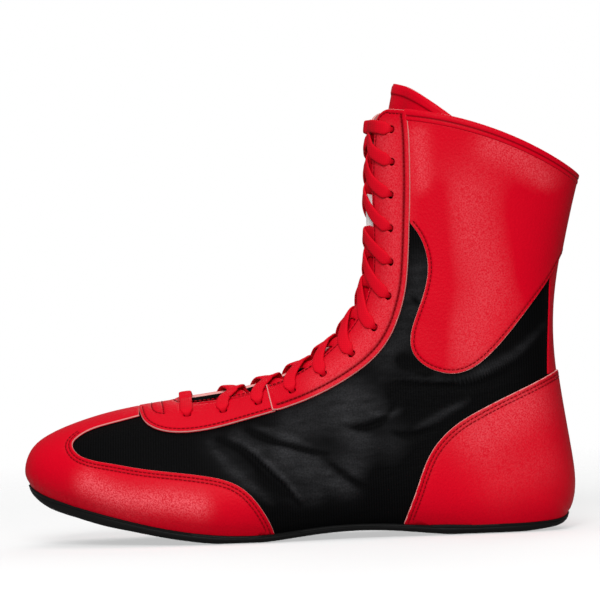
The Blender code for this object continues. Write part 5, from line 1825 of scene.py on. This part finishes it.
class ShoeColours(bpy.types.PropertyGroup):
    """Colours that a user would change."""

    leather: bpy.props.FloatVectorProperty(
        name="Leather", description="Red of the leather panels", subtype="COLOR",
        default=srgb("#D6041F"), min=0, max=1)
    leather_shade: bpy.props.FloatVectorProperty(
        name="Leather shade", description="Darker red where the dye lies thicker", subtype="COLOR",
        default=srgb("#C4021B"), min=0, max=1)
    # Painted shade: the deeper red drawn on the leather towards the sole.
    leather_low_shade: bpy.props.FloatVectorProperty(
        name="Low leather", description="Deeper red of the leather next to the sole", subtype="COLOR",
        default=srgb("#BA0019"), min=0, max=1)
    # Painted sheen: the paler red drawn where the leather would catch the light.
    leather_sheen: bpy.props.FloatVectorProperty(
        name="Rubbed leather", description="Paler red where the leather is buffed", subtype="COLOR",
        default=srgb("#EA5A62"), min=0, max=1)
    # Painted shade in the seams' grooves, and also the dark between the thread's strands.
    groove_shade_and_thread_dark: bpy.props.FloatVectorProperty(
        name="Seam shade", description="Dark red in the groove that a seam pulls in", subtype="COLOR",
        default=srgb("#78000A"), min=0, max=1)
    # Painted sheen: the grey drawn along the fabric's folds.
    fabric_sheen: bpy.props.FloatVectorProperty(
        name="Rubbed fabric", description="Grey of the fabric where its folds are rubbed", subtype="COLOR",
        default=srgb("#3A3A3C"), min=0, max=1)
    raw_edge: bpy.props.FloatVectorProperty(
        name="Raw edge", description="Pale fibre at the leather's cut edges", subtype="COLOR",
        default=srgb("#E3B7B0"), min=0, max=1)
    thread: bpy.props.FloatVectorProperty(
        name="Thread", description="Dark red of the stitches", subtype="COLOR",
        default=srgb("#98040F"), min=0, max=1)
    fabric: bpy.props.FloatVectorProperty(
        name="Fabric", description="Black of the nylon quarters", subtype="COLOR",
        default=srgb("#080809"), min=0, max=1)
    fabric_shade: bpy.props.FloatVectorProperty(
        name="Fabric shade", description="Black between the fabric's ribs", subtype="COLOR",
        default=srgb("#030303"), min=0, max=1)
    lace: bpy.props.FloatVectorProperty(
        name="Lace", description="Red of the lace", subtype="COLOR",
        default=srgb("#DC0A22"), min=0, max=1)
    lace_shade: bpy.props.FloatVectorProperty(
        name="Lace shade", description="Red between the lace's threads", subtype="COLOR",
        default=srgb("#CE071E"), min=0, max=1)
    label: bpy.props.FloatVectorProperty(
        name="Label", description="White of the tongue's label", subtype="COLOR",
        default=srgb("#FFFFFF"), min=0, max=1)
    label_shade: bpy.props.FloatVectorProperty(
        name="Label shade", description="White between the label's threads", subtype="COLOR",
        default=srgb("#EEEEEC"), min=0, max=1)
    rubber: bpy.props.FloatVectorProperty(
        name="Rubber", description="Black of the outsole", subtype="COLOR",
        default=srgb("#060606"), min=0, max=1)
    rubber_dust: bpy.props.FloatVectorProperty(
        name="Rubber dust", description="Dusty black of the outsole", subtype="COLOR",
        default=srgb("#0E0E0E"), min=0, max=1)
    floor: bpy.props.FloatVectorProperty(
        name="Floor", description="Pale studio floor", subtype="COLOR",
        default=srgb("#FFFFFF"), min=0, max=1)


class ShoeSizes(bpy.types.PropertyGroup):
    """Sizes that a user would change."""

    lace_width: bpy.props.FloatProperty(
        name="Lace width", description="Width of the flat lace", subtype="DISTANCE", unit="LENGTH",
        default=LACE_WIDTH * MM, min=0.004, max=0.009)
    lace_thickness: bpy.props.FloatProperty(
        name="Lace thickness", description="Thickness of the flat lace", subtype="DISTANCE",
        unit="LENGTH", default=LACE_THICK * MM, min=0.0006, max=0.002)
    stitch_inset: bpy.props.FloatProperty(
        name="Stitch inset", description="Distance of the stitches from the leather's edge",
        subtype="DISTANCE", unit="LENGTH", default=0.0019, min=0.001, max=0.004)


class SHOE_OT_stage(bpy.types.Operator):
    """Adds the floor, the lights, the world and the camera."""

    bl_idname = "shoe.stage"
    bl_label = "Stage"

    def execute(self, context):
        make_stage(context.scene.shoe_colours)
        return {"FINISHED"}


class SHOE_OT_sole(bpy.types.Operator):
    """Adds the rubber outsole and the footbed."""

    bl_idname = "shoe.sole"
    bl_label = "Outsole and footbed"

    def execute(self, context):
        colours = context.scene.shoe_colours
        make_outsole(rubber_material(colours))
        make_insole(black_fabric_material(colours, "black_footbed_knit", 1.6))
        return {"FINISHED"}


class SHOE_OT_upper(bpy.types.Operator):
    """Adds the fabric upper."""

    bl_idname = "shoe.upper"
    bl_label = "Fabric upper"

    def execute(self, context):
        colours = context.scene.shoe_colours
        make_upper(black_fabric_material(colours), black_fabric_material(colours, "black_lining_knit", 1.8))
        return {"FINISHED"}


class SHOE_OT_leather(bpy.types.Operator):
    """Adds the leather panels with their stitches."""

    bl_idname = "shoe.leather"
    bl_label = "Leather panels"

    def execute(self, context):
        colours = context.scene.shoe_colours
        inset = context.scene.shoe_sizes.stitch_inset / MM
        leather = red_leather_material(colours)
        thread = woven_material("dark_red_thread", colours.thread, colours.groove_shade_and_thread_dark,
                                pitch=0.8, roughness=0.6, sheen=0.0)
        make_panels(leather, thread, inset)
        make_collar_binding(leather)
        return {"FINISHED"}


class SHOE_OT_tongue(bpy.types.Operator):
    """Adds the tongue and its plain label."""

    bl_idname = "shoe.tongue"
    bl_label = "Tongue and label"

    def execute(self, context):
        colours = context.scene.shoe_colours
        make_tongue(bpy.data.materials["red_grained_leather"])
        finish = woven_material("white_woven_label", colours.label, colours.label_shade,
                                pitch=0.9, roughness=0.7, sheen=0.1)
        make_tongue_label(finish)
        return {"FINISHED"}


class SHOE_OT_lace(bpy.types.Operator):
    """Adds the lace."""

    bl_idname = "shoe.lace"
    bl_label = "Lace"

    def execute(self, context):
        colours = context.scene.shoe_colours
        finish = woven_material("red_woven_lace", colours.lace, colours.lace_shade,
                                pitch=1.0, roughness=0.7, sheen=0.0)
        make_lace(finish, context.scene.shoe_sizes)
        return {"FINISHED"}


OPERATORS = (SHOE_OT_stage, SHOE_OT_sole, SHOE_OT_upper, SHOE_OT_leather, SHOE_OT_tongue, SHOE_OT_lace)


class SHOE_PT_sidebar(bpy.types.Panel):
    """Lists the shoe's pieces and settings."""

    bl_idname = "SHOE_PT_sidebar"
    bl_label = "Boxing shoe"
    bl_space_type = "VIEW_3D"
    bl_region_type = "UI"
    bl_category = "Boxing shoe"

    def draw(self, context):
        for settings in (context.scene.shoe_sizes, context.scene.shoe_colours):
            for name in settings.bl_rna.properties.keys():
                if name not in ("rna_type", "name"):
                    self.layout.prop(settings, name)
        for operator in OPERATORS:
            self.layout.operator(operator.bl_idname)


CLASSES = (ShoeColours, ShoeSizes, *OPERATORS, SHOE_PT_sidebar)


def register():
    """Registers the settings, the operators and the panel."""
    for item in CLASSES:
        bpy.utils.register_class(item)
    bpy.types.Scene.shoe_colours = bpy.props.PointerProperty(type=ShoeColours)
    bpy.types.Scene.shoe_sizes = bpy.props.PointerProperty(type=ShoeSizes)


def unregister():
    """Takes them away again."""
    del bpy.types.Scene.shoe_sizes
    del bpy.types.Scene.shoe_colours
    for item in reversed(CLASSES):
        bpy.utils.unregister_class(item)


def main():
    """Builds the whole shoe."""
    register()
    bpy.ops.shoe.stage()
    bpy.ops.shoe.sole()
    bpy.ops.shoe.upper()
    bpy.ops.shoe.leather()
    bpy.ops.shoe.tongue()
    bpy.ops.shoe.lace()


if __name__ == "__main__":
    main()
